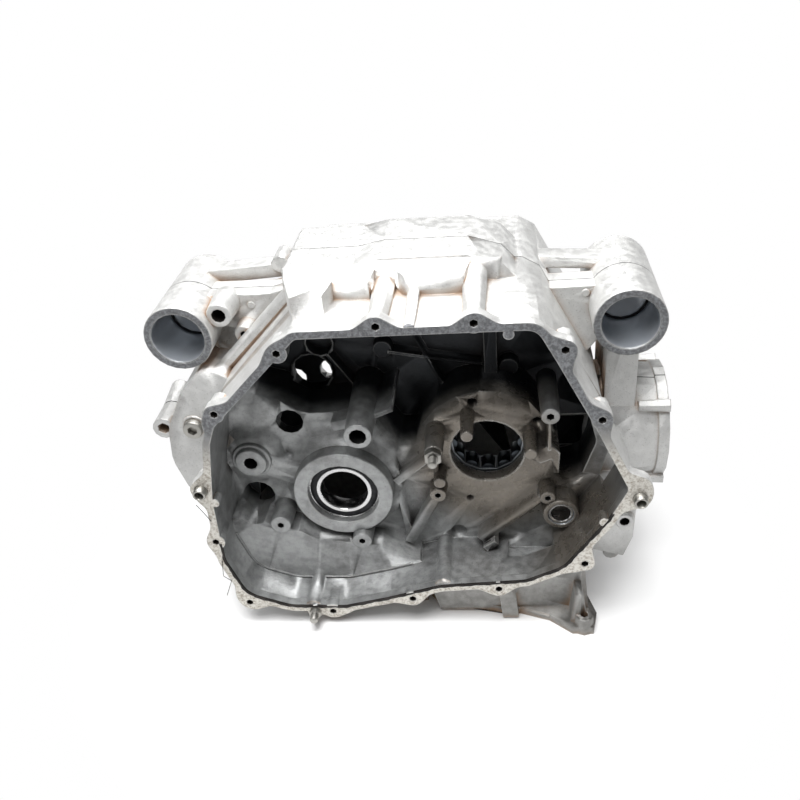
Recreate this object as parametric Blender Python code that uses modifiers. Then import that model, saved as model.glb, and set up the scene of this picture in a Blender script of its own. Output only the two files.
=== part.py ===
"""Engine crankcase: two cast halves that bolt together, with the bearings left in them.

The case stands on its cylinder deck. Every feature is placed by three numbers in
millimetres: x from the midline between the two mount tubes, depth behind the machined
cover face at the front, and z above the ground. The finished pieces hang from one empty,
which moves the drawing's own zero to the middle of the case's overall width and depth.
"""
import math

import bmesh
import bpy
from mathutils import Matrix, Vector

MM = 0.001

# The two halves and their walls
PARTING_DEPTH = 115.0
PARTING_GAP = 0.3
SEAT_GAP = 0.3
WALL = 5.5
PLATE_DEPTH = 61.0
PLATE_THICKNESS = 11.0
POCKET_DEPTH = 108.0
REAR_CHAMBER_DEPTH = 50.0
REAR_WALL = 9.0
FLANK_BACK = 140.0
REAR_END = 205.0
FRONT_END = PARTING_DEPTH - PARTING_GAP / 2
REAR_START = PARTING_DEPTH + PARTING_GAP / 2
OVERRUN = 2.0

# Cover screws round the front face, and the columns that hold them
SCREW_HOLE_R = 3.1
SCREW_HOLE_DEPTH = 18.0
SCREW_BOSS_R = 8.0
SCREW_BOSS_DEPTH = 22.0
COVER_SCREWS = {
    "a": (-81.8, 283.9), "b": (-6.5, 303.3), "c": (62.9, 303.5), "d": (126.7, 279.5),
    "e": (155.0, 218.6), "g": (147.1, 73.1), "h": (75.2, 43.4), "i": (-0.5, 31.4),
    "j": (-74.1, 15.4), "k": (-149.3, 26.6), "l": (-165.8, 99.8), "n": (-139.9, 231.8),
}
DOWELS = {"right": (187.4, 143.1), "left": (-166.7, 156.4)}
DOWEL_BOSS_R = 9.0
DOWEL_R = 5.6
DOWEL_BORE_R = 3.7
DOWEL_SEAT_DEPTH = 9.0
DOWEL_PROUD = 7.0
COVER_LUGS = {"top": (87.0, 293.5), "left": (-158.0, 143.0), "right": (161.0, 118.5)}
COVER_LUG_R = 4.0
COVER_LUG_DEPTH = 12.0

# Inner edge of the cover face: x, z and the radius of each corner
CAVITY = [
    (-67, 296, 6), (107, 297, 14), (121, 271, 20), (150, 214, 20), (179, 152, 9),
    (164, 119, 10), (130, 68, 25), (98, 52, 20), (25, 46, 30), (-22, 31, 20),
    (-62, 20.5, 15), (-112, 21, 30), (-150, 36, 25), (-163, 78, 30), (-160, 145, 20),
    (-150, 203, 15), (-143, 220, 8),
]
# The case behind the cover flange is narrower on its right
BODY_STEP = 48.0
BODY = [
    (-74, 301.5, 8), (110, 301.5, 16), (128, 268, 20), (160, 208, 20), (172, 150, 15),
    (158, 100, 15), (128, 60, 25), (98, 46, 20), (25, 40, 30), (-22, 25, 20),
    (-62, 15, 15), (-112, 15, 30), (-152, 30, 25), (-168, 78, 30), (-166, 145, 20),
    (-156, 205, 15), (-147, 226, 8),
]

# The two mount tubes at the top corners
TUBE_X = 181.9
TUBE_Z = 263.6
TUBE_R = 28.5
TUBE_BORE_R = 22.5
TUBE_BACK_BORE_R = 20.5
TUBE_MOUTH = 65.5
TUBE_END = 172.0
WEB_HALF = 14.0
WEB_FRONT = PARTING_DEPTH - WEB_HALF

# Side plate at the left, clockwise
FLANK = [
    (-150, 150, 4), (-160, 78, 4), (-184, 84, 14), (-205, 108, 20), (-214, 142, 24),
    (-210, 176, 24), (-190, 214, 20), (-168, 236, 14), (-146, 232, 6),
]
FLANK_FRONT = 62.0

# Raised deck on top
DECK_LOW = 317.0
DECK_HIGH = 321.5
DECK_FOOT = 290.0
DECK_FRONT = 78.0
DECK_END = 160.0

# Cylinder deck underneath, with its mouth on the parting plane
CYLINDER_X = 78.0
CYLINDER_R = 44.0
CYLINDER_WALL = 6.0
CYLINDER_TOP = 90.0
FOOT_PLATE = 8.0
EAR_X = 148.0
EAR_DEPTH = -4.0
EAR_R = 9.0
EAR_HOLE_R = 3.6
EAR_HEIGHT = 17.0
SKIRT_DEPTH = 14.0
SUMP_FRONT = 28.0

# Output housing on the right, its axis along x
OUTPUT_FACE = 222.8
OUTPUT_DEPTH = 125.0
OUTPUT_Z = 134.0
OUTPUT_R = 50.0
OUTPUT_ROOT_R = 56.0
OUTPUT_BORE_R = 24.0
OUTPUT_SEAT_R = 33.0
OUTPUT_SEAT_DEPTH = 12.0
OUTPUT_SCREW_PCR = 54.0

# Low tube at the left, which sets the overall width
LOW_TUBE_X = -225.3
LOW_TUBE_Z = 160.9
LOW_TUBE_R = 10.5
LOW_TUBE_BORE_R = 6.0
LOW_TUBE_MOUTH = 85.0
LOW_TUBE_END = 146.0

# Overall reach, from which the pieces' common zero is worked out
LEFT_REACH = LOW_TUBE_X - LOW_TUBE_R
FRONT_REACH = EAR_DEPTH - EAR_R
DATUM_X = -(LEFT_REACH + OUTPUT_FACE) / 2
DATUM_DEPTH = (FRONT_REACH + REAR_END) / 2

# Ball bearing of the left shaft
BALL_X = -58.2
BALL_Z = 117.2
BALL_FRONT = 46.0
BALL_WIDTH = 15.0
BALL_BORE_R = 20.6
BALL_OUTER_R = 34.0
BALL_INNER_SHOULDER_R = 24.6
BALL_OUTER_SHOULDER_R = 29.8
BALL_R = 4.6
BALL_COUNT = 9
BALL_GROOVE = 0.8
BALL_BOSS_R = 43.6
BALL_BOSS_FRONT = 40.0
BALL_LIP_R = 31.6

# Roller bearing of the crankshaft, behind the big bore
CRANK_X = 68.1
CRANK_Z = 146.3
CRANK_BORE_R = 31.7
ROLLER_FRONT = 73.5
ROLLER_WIDTH = 24.0
ROLLER_OUTER_R = 45.0
ROLLER_TRACK_R = 39.2
ROLLER_R = 6.2
ROLLER_LENGTH = 15.0
ROLLER_COUNT = 13

# Bush of the small shaft
BUSH_X = 130.0
BUSH_Z = 92.3
BUSH_FRONT = 41.0
BUSH_LENGTH = 14.0
BUSH_R = 11.1
BUSH_BORE_R = 8.4
BUSH_BOSS_R = 15.0

# Bolts that join the halves: x, z and the depth of the face under the head
CASE_BOLTS = [
    (-126.0, 262.0, PARTING_DEPTH + WEB_HALF), (140.0, 262.0, PARTING_DEPTH + WEB_HALF),
    (-190.0, 128.0, FLANK_BACK),
]
BOLT_R = 3.8
BOLT_HOLE_R = 4.1
BOLT_REACH = 9.0
BOLT_HOLE_DEPTH = 11.0
BOLT_HEAD_R = 6.6
BOLT_HEAD_HEIGHT = 6.0
BOLT_COLUMN_R = 9.5

# Screwed pieces at the front
STUD_X = -90.2
STUD_Z = 15.0
STUD_HEAD_R = 5.4
STUD_TIP_R = 3.6
STUD_SHANK_R = 2.9
STUD_TIP = 12.0
STUD_COLLAR = 4.0
STUD_SHANK = 12.0
PLUG_X = -185.5
PLUG_Z = 178.5
PLUG_FACE = 61.0
PLUG_HEAD_R = 8.7
PLUG_HEAD = 6.0
PLUG_SHANK_R = 6.0
PLUG_SHANK = 10.0
PLUG_BOSS_R = 11.0
SOCKET_R = 4.6
ADJUSTER_X = 24.9
ADJUSTER_Z = 170.7
ADJUSTER_POST_R = 7.3
ADJUSTER_POST_TIP = 26.0
ADJUSTER_R = 3.9
ADJUSTER_TIP = 10.0
ADJUSTER_ROOT = 40.0
NUT_R = 7.6
NUT_HEIGHT = 7.0

ROUND = 24
WIDE = 16
MIDDLE = 12
MEDIUM = 10
SMALL = 6
ARC_STEP = 31.0
FLANK_ARC_STEP = 50.0
HIDDEN_ARC_STEP = 90.0
# Many faces of the halves share the parting plane, where the exact solver leaves open edges
SOLVER = "MANIFOLD"


def place(x, depth, z):
    """A point of the drawing as a Blender location in metres."""
    return Vector((x, depth - PARTING_DEPTH, z)) * MM


def rounded(corners, arc_step=ARC_STEP):
    """Outline with an arc in each corner, from rows of x, z and radius."""
    points = []
    count = len(corners)
    for index, (x, z, radius) in enumerate(corners):
        corner = Vector((x, z))
        before = Vector(corners[index - 1][:2]) - corner
        after = Vector(corners[(index + 1) % count][:2]) - corner
        half = before.angle(after) / 2
        reach = min(radius / math.tan(half), before.length * 0.45, after.length * 0.45)
        if reach < 0.5:
            points.append(corner)
            continue
        start = corner + before.normalized() * reach
        end = corner + after.normalized() * reach
        steps = max(1, round((180 - math.degrees(2 * half)) / arc_step))
        for step in range(steps + 1):
            t = step / steps
            points.append(start * (1 - t) ** 2 + corner * 2 * t * (1 - t) + end * t * t)
    return [(point.x, point.y) for point in points]


def grown(corners, distance):
    """Corners of an outline that runs clockwise, moved outwards by a distance."""
    moved = []
    count = len(corners)
    for index, (x, z, radius) in enumerate(corners):
        corner = Vector((x, z))
        before = (corner - Vector(corners[index - 1][:2])).normalized()
        after = (Vector(corners[(index + 1) % count][:2]) - corner).normalized()
        normal_before = Vector((-before.y, before.x))
        normal_after = Vector((-after.y, after.x))
        middle = (normal_before + normal_after).normalized()
        shift = middle * distance / max(middle.dot(normal_after), 0.4)
        bulge = normal_before.dot(after) < 0
        moved.append((x + shift.x, z + shift.y, max(radius + (distance if bulge else -distance), 1)))
    return moved


def arc(x, z, radius, start, end, steps):
    """Points on an arc, angles in degrees from +x towards +z, with no corner radius."""
    angles = [math.radians(start + (end - start) * step / steps) for step in range(steps + 1)]
    return [(x + radius * math.cos(a), z + radius * math.sin(a), 0) for a in angles]


def mesh_object(name, shape):
    """Object made from a finished bmesh."""
    bmesh.ops.recalc_face_normals(shape, faces=shape.faces)
    mesh = bpy.data.meshes.new(name)
    shape.to_mesh(mesh)
    shape.free()
    obj = bpy.data.objects.new(name, mesh)
    tools.objects.link(obj)
    obj.hide_render = True
    obj.display_type = "WIRE"
    return obj


def flat_solid(name, points, height):
    """Closed solid over a flat outline in x and y, from z = 0 up to a height."""
    curve = bpy.data.curves.new(name, "CURVE")
    curve.dimensions = "2D"
    curve.fill_mode = "BOTH"
    curve.extrude = height * MM / 2
    spline = curve.splines.new("POLY")
    spline.points.add(len(points) - 1)
    for point, (x, y) in zip(spline.points, points):
        point.co = (x * MM, y * MM, 0, 1)
    spline.use_cyclic_u = True
    guide = bpy.data.objects.new(name, curve)
    tools.objects.link(guide)
    depsgraph = bpy.context.evaluated_depsgraph_get()
    mesh = bpy.data.meshes.new_from_object(guide.evaluated_get(depsgraph))
    bpy.data.objects.remove(guide)
    shape = bmesh.new()
    shape.from_mesh(mesh)
    bpy.data.meshes.remove(mesh)
    bmesh.ops.remove_doubles(shape, verts=shape.verts, dist=0.00001)
    bmesh.ops.translate(shape, verts=shape.verts, vec=(0, 0, height * MM / 2))
    bmesh.ops.dissolve_limit(shape, angle_limit=0.001, verts=shape.verts, edges=shape.edges)
    return shape


def prism(points, front, back, taper=1.0):
    """Solid over an outline in x and z, between two depths; its back may be smaller."""
    shape = flat_solid("prism", points, back - front)
    if taper != 1.0:
        centre = Vector((sum(p[0] for p in points), sum(p[1] for p in points), 0)) * MM / len(points)
        far = [vert for vert in shape.verts if vert.co.z < (back - front) * MM / 2]
        bmesh.ops.scale(shape, verts=far, vec=(taper, taper, 1), space=Matrix.Translation(-centre))
    turn = Matrix.Rotation(math.radians(90), 4, "X")
    bmesh.ops.transform(shape, matrix=Matrix.Translation(place(0, back, 0)) @ turn, verts=shape.verts)
    return mesh_object("prism", shape)


def slab(points, low, high):
    """Solid over an outline in x and depth, between two heights."""
    shape = flat_solid("slab", points, high - low)
    bmesh.ops.translate(shape, verts=shape.verts, vec=place(0, 0, low))
    return mesh_object("slab", shape)


def box(x0, x1, depth0, depth1, z0, z1):
    """Plain block."""
    shape = bmesh.new()
    bmesh.ops.create_cube(shape, size=1)
    size = Vector((x1 - x0, depth1 - depth0, z1 - z0)) * MM
    middle = place((x0 + x1) / 2, (depth0 + depth1) / 2, (z0 + z1) / 2)
    matrix = Matrix.Translation(middle) @ Matrix.Diagonal((*size, 1))
    bmesh.ops.transform(shape, matrix=matrix, verts=shape.verts)
    return mesh_object("box", shape)


def rod(start, end, radius, end_radius=None, sides=MEDIUM):
    """Round bar or cone between two points of x, depth and z."""
    first, last = place(*start), place(*end)
    along = last - first
    shape = bmesh.new()
    bmesh.ops.create_cone(
        shape, cap_ends=True, segments=sides, radius1=radius * MM,
        radius2=(radius if end_radius is None else end_radius) * MM, depth=along.length)
    turn = along.to_track_quat("Z", "Y").to_matrix().to_4x4()
    matrix = Matrix.Translation((first + last) / 2) @ turn
    bmesh.ops.transform(shape, matrix=matrix, verts=shape.verts)
    return mesh_object("rod", shape)


def boss(x, z, radius, tip, root, draft=0.8, sides=MEDIUM):
    """Round boss that points at the cover, a little thicker at its root."""
    return rod((x, tip, z), (x, root, z), radius, radius + draft, sides)


def hole(x, z, radius, front, back, sides=SMALL):
    """Round hole along the depth."""
    return rod((x, front, z), (x, back, z), radius, sides=sides)


def rib(start, end, thickness, front, back):
    """Wall between two points of x and z, standing along the depth."""
    first, last = Vector(start), Vector(end)
    side = (last - first).orthogonal().normalized() * thickness / 2
    corners = (first + side, last + side, last - side, first - side)
    return prism([(c.x, c.y) for c in corners], front, back)


def combine(target, pieces, operation):
    """Join pieces to the target, or cut them from it, one after another."""
    for piece in pieces:
        modifier = target.modifiers.new(operation.lower(), "BOOLEAN")
        modifier.operation = operation
        modifier.solver = SOLVER
        modifier.object = piece
    depsgraph = bpy.context.evaluated_depsgraph_get()
    mesh = bpy.data.meshes.new_from_object(target.evaluated_get(depsgraph))
    target.modifiers.clear()
    target.data = mesh
    for piece in pieces:
        bpy.data.objects.remove(piece)


def unite(target, *pieces):
    """Join pieces to the target."""
    combine(target, pieces, "UNION")


def cut(target, *pieces):
    """Cut pieces from the target."""
    combine(target, pieces, "DIFFERENCE")


def material(name, colour, metallic, roughness):
    """Plain finish of one piece."""
    finish = bpy.data.materials.new(name)
    finish.use_nodes = True
    shader = finish.node_tree.nodes["Principled BSDF"]
    shader.inputs["Base Color"].default_value = (*colour, 1)
    shader.inputs["Metallic"].default_value = metallic
    shader.inputs["Roughness"].default_value = roughness
    return finish


def finish_part(obj, name, finish, origin=(0, PARTING_DEPTH, 0)):
    """Name a piece, set its origin and material, and hang it from the datum."""
    zero = place(*origin)
    obj.data.transform(Matrix.Translation(-zero) @ obj.matrix_basis)
    obj.matrix_basis = Matrix.Translation(zero)
    obj.name = obj.data.name = name
    shape = bmesh.new()
    shape.from_mesh(obj.data)
    bmesh.ops.dissolve_limit(shape, angle_limit=0.0002, verts=shape.verts, edges=shape.edges)
    shape.to_mesh(obj.data)
    shape.free()
    obj.data.materials.clear()
    obj.data.materials.append(finish)
    obj.data.shade_smooth()
    obj.data.set_sharp_from_angle(angle=math.radians(35))
    tools.objects.unlink(obj)
    parts.objects.link(obj)
    obj.hide_render = False
    obj.display_type = "TEXTURED"
    obj.parent = datum
    return obj


def turned(name, profile, x, z, finish, sides=ROUND):
    """Ring turned about an axis along the depth, from rows of radius and depth."""
    mesh = bpy.data.meshes.new(name)
    shape = bmesh.new()
    first_depth = profile[0][1]
    points = [shape.verts.new((radius * MM, (depth - first_depth) * MM, 0)) for radius, depth in profile]
    for start, end in zip(points, points[1:]):
        shape.edges.new((start, end))
    shape.edges.new((points[-1], points[0]))
    shape.to_mesh(mesh)
    shape.free()
    obj = bpy.data.objects.new(name, mesh)
    tools.objects.link(obj)
    obj.location = place(x, first_depth, z)
    screw = obj.modifiers.new("turn", "SCREW")
    screw.axis = "Y"
    screw.steps = screw.render_steps = sides
    screw.use_merge_vertices = True
    screw.merge_threshold = 0.00002
    depsgraph = bpy.context.evaluated_depsgraph_get()
    solid = bpy.data.meshes.new_from_object(obj.evaluated_get(depsgraph))
    obj.modifiers.clear()
    obj.data = solid
    shape = bmesh.new()
    shape.from_mesh(solid)
    bmesh.ops.remove_doubles(shape, verts=shape.verts, dist=0.00001)
    bmesh.ops.recalc_face_normals(shape, faces=shape.faces)
    shape.to_mesh(solid)
    shape.free()
    return finish_part(obj, name, finish, (x, first_depth, z))


def trim(target, front, back):
    """Take off whatever lies between two depths."""
    reach = 400.0
    cut(target, box(-reach, reach, front, back, -reach, reach))


def cover_flange():
    """Bosses and lugs that stand on the cover face's wall."""
    bosses = [boss(x, z, SCREW_BOSS_R, 0, SCREW_BOSS_DEPTH, -1.2) for x, z in COVER_SCREWS.values()]
    bosses += [boss(x, z, DOWEL_BOSS_R, 0, SCREW_BOSS_DEPTH, -1.2, MIDDLE) for x, z in DOWELS.values()]
    bosses += [boss(x, z, COVER_LUG_R, 0, COVER_LUG_DEPTH, -1, SMALL) for x, z in COVER_LUGS.values()]
    return bosses


def deck_profile():
    """Section of the raised deck on top."""
    low, high = DECK_LOW, DECK_HIGH
    return [(-90, DECK_FOOT), (-89, low - 3), (-86, low), (-32, low), (-10, high), (58, high),
            (84, low - 4), (100, DECK_FOOT + 6), (100, DECK_FOOT)]


def deck_front():
    """Stepped front of the raised deck and the ridges that run to the screw bosses."""
    return [
        slab([(-72, 24), (-48, 26), (-44, 50), (-16, 47), (-12, DECK_FRONT + 2), (-89, DECK_FRONT + 2),
              (-84, 60)], DECK_FOOT, DECK_LOW - 0.5),
        slab([(-14, 68), (2, 66), (8, 54), (12, 52), (55, 52), (60, 76), (80, 74), (84, DECK_FRONT + 2),
              (-14, DECK_FRONT + 2)], DECK_FOOT, DECK_LOW + 1),
        rod((-6.5, 2, 302), (-6.5, 72, 303), 7.2, 9.5),
        rod((17.3, 0, 301), (17.3, 56, 303), 4.6, 5.4, SMALL),
        rod((62.9, 2, 302.5), (62.9, DECK_FRONT, 306), 7.6, 10.5),
    ]


def left_flank():
    """Side plate, ridge, plug boss and low tube at the left of the front half."""
    return [
        prism(rounded(FLANK, FLANK_ARC_STEP), FLANK_FRONT, FRONT_END),
        rod((-84, 76, 296), (-160, 82, 220), 6.5),
        rod((-160, 82, 220), (-192, 92, 202), 6.5, 5),
        boss(PLUG_X, PLUG_Z, PLUG_BOSS_R, PLUG_FACE, 72, 1),
        rod((LOW_TUBE_X, LOW_TUBE_MOUTH, LOW_TUBE_Z), (LOW_TUBE_X, FRONT_END, LOW_TUBE_Z), LOW_TUBE_R,
            sides=MIDDLE),
        prism([(-222, 154), (-222, 168), (-200, 176), (-200, 140)], 94, FRONT_END),
    ]


def tube(side, mouth, end):
    """Outside of one mount tube."""
    return rod((side * TUBE_X, mouth, TUBE_Z), (side * TUBE_X, end, TUBE_Z), TUBE_R, sides=ROUND)


def left_web(front, back, top):
    """Wall between the left mount tube and the case."""
    return prism([(-176, 246), (-176, top), (-108, top), (-84, top + 6), (-84, 250), (-140, 215)],
                 front, back)


def right_web(front, back, top):
    """Wall between the right mount tube and the case."""
    return prism([(176, 250), (150, 215), (112, 262), (112, top - 1), (176, top)], front, back)


def mounts():
    """Tubes, webs and small bosses of the front half's top corners."""
    return [
        tube(-1, TUBE_MOUTH, FRONT_END), tube(1, TUBE_MOUTH, FRONT_END),
        left_web(WEB_FRONT, FRONT_END, 284.5), right_web(WEB_FRONT, FRONT_END, 280),
        boss(-146.8, 278.4, 10.2, 75, 108, 1.5), boss(-132.4, 255.3, 7.6, 85, WEB_FRONT + 2, 0.6),
        box(168, 194, 88, FRONT_END, 160, 252),
    ]


def output_housing(start, end):
    """Part of the output housing that lies between two depths."""
    housing = rod((150, OUTPUT_DEPTH, OUTPUT_Z), (OUTPUT_FACE, OUTPUT_DEPTH, OUTPUT_Z),
                  OUTPUT_ROOT_R, OUTPUT_R, WIDE)
    flange = rod((OUTPUT_FACE - 9, OUTPUT_DEPTH, OUTPUT_Z), (OUTPUT_FACE, OUTPUT_DEPTH, OUTPUT_Z),
                 OUTPUT_R + 3, sides=WIDE)
    unite(housing, flange)
    for x, depth, z in output_screws():
        if start < depth < end:
            unite(housing, rod((x - 26, depth, z), (x, depth, z), 5.0, 6.2, SMALL))
    trim(housing, start - 200, start)
    trim(housing, end, end + 200)
    return housing


def output_screws():
    """Places of the four screws round the output face."""
    turns = [math.radians(45 + 90 * quarter) for quarter in range(4)]
    return [(OUTPUT_FACE, OUTPUT_DEPTH + OUTPUT_SCREW_PCR * math.cos(t),
             OUTPUT_Z + OUTPUT_SCREW_PCR * math.sin(t)) for t in turns]


def foot_front():
    """Cylinder deck, its skirt and ear under the front half."""
    plate = [(8, 40), (20, 24), (78, 12), (94, 12), (119, 4), (138, FRONT_REACH + 2),
             (156, FRONT_REACH + 2), (160, 6), (152, 34), (152, FRONT_END), (8, FRONT_END)]
    return [
        slab(plate, 0, FOOT_PLATE),
        prism([(22, 4), (154, 4), (146, 78), (100, 60), (60, 52), (12, 46)], SKIRT_DEPTH, 22),
        prism([(142, 2), (154, 2), (147, 78), (135, 70)], SKIRT_DEPTH, FRONT_END),
        prism([(8, 2), (16, 2), (18, 46), (10, 44)], 40, FRONT_END),
        rod((EAR_X, EAR_DEPTH, 0), (EAR_X, EAR_DEPTH, EAR_HEIGHT), EAR_R, EAR_R - 1),
        prism([(136, 2), (150, 2), (150, 17), (146, 40), (140, 40)], EAR_DEPTH, SKIRT_DEPTH + 2),
        prism([(78, 2), (92, 2), (90, 24), (84, 44), (74, 44)], 6, SKIRT_DEPTH + 2),
        rod((CYLINDER_X, PARTING_DEPTH, 0), (CYLINDER_X, PARTING_DEPTH, 70),
            CYLINDER_R + CYLINDER_WALL, sides=WIDE),
        box(-128, 10, SUMP_FRONT, FRONT_END, 0, 30),
        box(64, 138, 22, 62, 34, 66),
    ]


def lower_right_lugs():
    """Screw pad and round lug below the right dowel."""
    return [
        prism([(160, 120), (192, 112), (191, 72), (184, 50), (150, 60), (140, 80)], 34, BODY_STEP + 20),
        boss(182.0, 94.4, 7.5, 28, 40, 0.5),
        boss(174.5, 48.2, 7, 40, 66, 1),
        box(146, 178, 46, 70, 46, 70),
    ]


def pocket_outline():
    """Deep pocket above the plates, which ends at the wall on the parting plane."""
    round_crank = arc(CRANK_X, CRANK_Z, 62, 56, 172, 6)
    return [(-64, 291, 6), (104, 292, 12), (118, 266, 10), (144, 213, 14), (160, 155, 8),
            (148, 118, 8), (126, 112, 6), (124, 170, 8), *round_crank, (-8, 154, 4),
            (-22, 180, 10), (-45, 192, 8), (-85, 190, 10), (-106, 204, 10), (-134, 213, 6)]


def left_chamber():
    """Hollow behind the left plate, for the gears."""
    return [(-148, 66, 20), (-126, 36, 20), (-40, 36, 20), (-6, 50, 10), (2, 110, 10),
            (-10, 146, 10), (-32, 178, 6), (-138, 178, 12)]


def pocket_ribs():
    """Thin walls and bosses on the back wall of the deep pocket."""
    front = POCKET_DEPTH - 13
    back = POCKET_DEPTH + 2
    return [
        rib((-68, 229), (-43, 189), 2.6, front, back), rib((-8, 282), (33, 190), 2.6, front, back),
        rib((-14, 228), (66, 213), 2.6, front, back), rib((73, 296), (73, 196), 11, front - 4, back),
        boss(-73.1, 236.4, 13.6, 99, back, 0, MIDDLE), boss(-84.2, 204.9, 19.6, 104, back, 0, WIDE),
        boss(-18.8, 229.4, 7.9, 97, back, 0.6), boss(88.1, 208.2, 8.1, 97, back, 0.6),
    ]


def left_interior():
    """Platform, humps and bosses on the left plate."""
    plate = PLATE_DEPTH + 2
    platform = [(-172, 94, 0), (-157, 94, 3), (-134, 90, 6), (-103, 79, 6), (-86, 68, 6), (-60, 65, 6),
                (-29, 60, 6), (5, 43, 3), (8, 30, 0), (-30, 12, 0), (-130, 12, 0), (-172, 40, 0)]
    return [
        prism(rounded(platform), 37, plate),
        boss(-117.7, 88.0, 9, 34, plate, 1), boss(-45.8, 68.5, 8.6, 34, plate, 1),
        rod((-92, 3, 17), (-92, 38, 17), 8.5, sides=MEDIUM),
        boss(BALL_X, BALL_Z, 52, 52, plate, 3, MIDDLE),
        boss(BALL_X, BALL_Z, BALL_BOSS_R, BALL_BOSS_FRONT, plate, 1.5, ROUND),
        boss(-136.6, 149.5, 24, 52, plate, 6, MIDDLE), boss(-136.6, 149.5, 17, 48.5, plate, 1, MIDDLE),
        boss(-136.6, 149.5, 13.5, 45, plate, 0.6, MIDDLE),
        rib((-128, 144), (-96, 132), 24, 51, plate),
        boss(-34.3, 193.5, 11.2, 20, POCKET_DEPTH + 2, 2.5, MIDDLE),
        rib((-34, 192), (-8, 203), 4, 44, POCKET_DEPTH + 2),
        rib((-40, 190), (-60, 186), 9, 46, plate),
    ]


def right_interior():
    """Posts, arms, bosses and the bracket on the right plate."""
    plate = PLATE_DEPTH + 2
    bracket = [(102, 156), (110, 164), (121, 169), (128, 160), (127, 140), (123, 140), (121, 154), (112, 150)]
    return [
        boss(52.7, 186.8, 4.8, 26, plate, 1, SMALL + 2),
        boss(103.7, 167.9, 4.8, 26, plate, 1, SMALL + 2),
        boss(ADJUSTER_X, ADJUSTER_Z, ADJUSTER_POST_R, ADJUSTER_POST_TIP, plate, 1.2),
        boss(27.1, 128.5, 5, 40, plate, 0.8, SMALL + 2), boss(24.3, 111.1, 7, 45, plate, 0.8),
        rib((24, 109), (-5, 54), 9, 48, plate), rib((-12, 136), (-4, 54), 6, 52, plate),
        rib((-12, 122), (22, 152), 7, 50, plate), rib((24, 128), (24, 160), 4, 50, plate),
        boss(119.2, 201.9, 7.2, 30, PLATE_DEPTH + 30, 1), rib((119, 198), (119, 166), 2.8, 34, 74),
        prism(bracket, 38, 70),
        boss(118.8, 109.0, 6.4, 42, plate, 0.8), rib((60, 58), (113, 106), 9, 46, plate),
        rib((64, 52), (74, 60), 6, 40, plate),
        boss(BUSH_X, BUSH_Z, BUSH_BOSS_R, BUSH_FRONT - 1, plate, 1, MIDDLE),
        boss(27.3, 44.0, 7.8, 4, plate, 0),
    ]


def front_holes():
    """Every hole and bore of the front half."""
    back = FRONT_END + OVERRUN
    plate_back = PLATE_DEPTH + PLATE_THICKNESS + OVERRUN
    screws = [hole(x, z, SCREW_HOLE_R, -OVERRUN, SCREW_HOLE_DEPTH) for x, z in COVER_SCREWS.values()]
    screws += [hole(x, z, SCREW_HOLE_R, -OVERRUN, SCREW_HOLE_DEPTH + 6) for x, z in DOWELS.values()]
    screws += [hole(x, z, DOWEL_R + SEAT_GAP, -OVERRUN, DOWEL_SEAT_DEPTH + SEAT_GAP, MIDDLE)
               for x, z in DOWELS.values()]
    bolts = [hole(x, z, BOLT_HOLE_R, PARTING_DEPTH - BOLT_HOLE_DEPTH, back) for x, z, _ in CASE_BOLTS]
    return screws + bolts + [
        hole(BALL_X, BALL_Z, BALL_LIP_R, 30, 60, ROUND),
        hole(BALL_X, BALL_Z, BALL_OUTER_R + SEAT_GAP, BALL_FRONT - SEAT_GAP, plate_back, ROUND),
        hole(CRANK_X, CRANK_Z, CRANK_BORE_R, 50, 90, ROUND),
        hole(CRANK_X, CRANK_Z, ROLLER_OUTER_R + SEAT_GAP, ROLLER_FRONT - SEAT_GAP, back, ROUND),
        hole(BUSH_X, BUSH_Z, BUSH_R + SEAT_GAP, BUSH_FRONT - 3, BUSH_FRONT + BUSH_LENGTH + SEAT_GAP, WIDE),
        hole(-136.6, 149.5, 6.1, 40, 80, MEDIUM), hole(-34.3, 193.5, 7.2, 18, 56, MEDIUM),
        hole(-99.9, 182.0, 12, 50, 92, MIDDLE), hole(-140.9, 101.8, 15.0, 30, 80, MIDDLE),
        hole(57.1, 196.9, 4.6, 50, 72, SMALL + 2), hole(110.2, 177.4, 3.8, 50, 72),
        hole(51.6, 95.0, 3.8, 50, 70), hole(39.8, 55.9, 7.7, 50, 69, MEDIUM),
        hole(-84.2, 204.9, 17.8, 98, back, WIDE), hole(-73.1, 236.4, 11.7, 90, 112, MIDDLE),
        hole(-117.7, 88.0, 3.1, 30, 50), hole(-45.8, 68.5, 3.1, 30, 50),
        hole(24.3, 111.1, 2.8, 40, 58), hole(118.8, 109.0, 2.8, 38, 56),
        hole(119.2, 201.9, 3.2, 26, 50),
        hole(-146.8, 278.4, 6, 70, 100, MEDIUM), hole(-132.4, 255.3, 3, 80, 100),
        hole(182.0, 94.4, 4.2, 20, 44, MEDIUM),
        hole(ADJUSTER_X, ADJUSTER_Z, ADJUSTER_R + SEAT_GAP, 20, ADJUSTER_ROOT + SEAT_GAP, MEDIUM),
        hole(STUD_X, STUD_Z, STUD_SHANK_R + SEAT_GAP, -OVERRUN, STUD_SHANK + SEAT_GAP, SMALL + 2),
        hole(PLUG_X, PLUG_Z, PLUG_SHANK_R + SEAT_GAP, 50, PLUG_FACE + PLUG_SHANK + SEAT_GAP, MIDDLE),
        rod((EAR_X, EAR_DEPTH, -OVERRUN), (EAR_X, EAR_DEPTH, 40), EAR_HOLE_R, sides=SMALL),
        rod((LOW_TUBE_X, 80, LOW_TUBE_Z), (LOW_TUBE_X, back, LOW_TUBE_Z), LOW_TUBE_BORE_R, sides=SMALL),
        hole(-TUBE_X, TUBE_Z, TUBE_BORE_R, 60, back, ROUND),
        hole(TUBE_X, TUBE_Z, TUBE_BORE_R, 60, back, ROUND),
    ]


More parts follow.
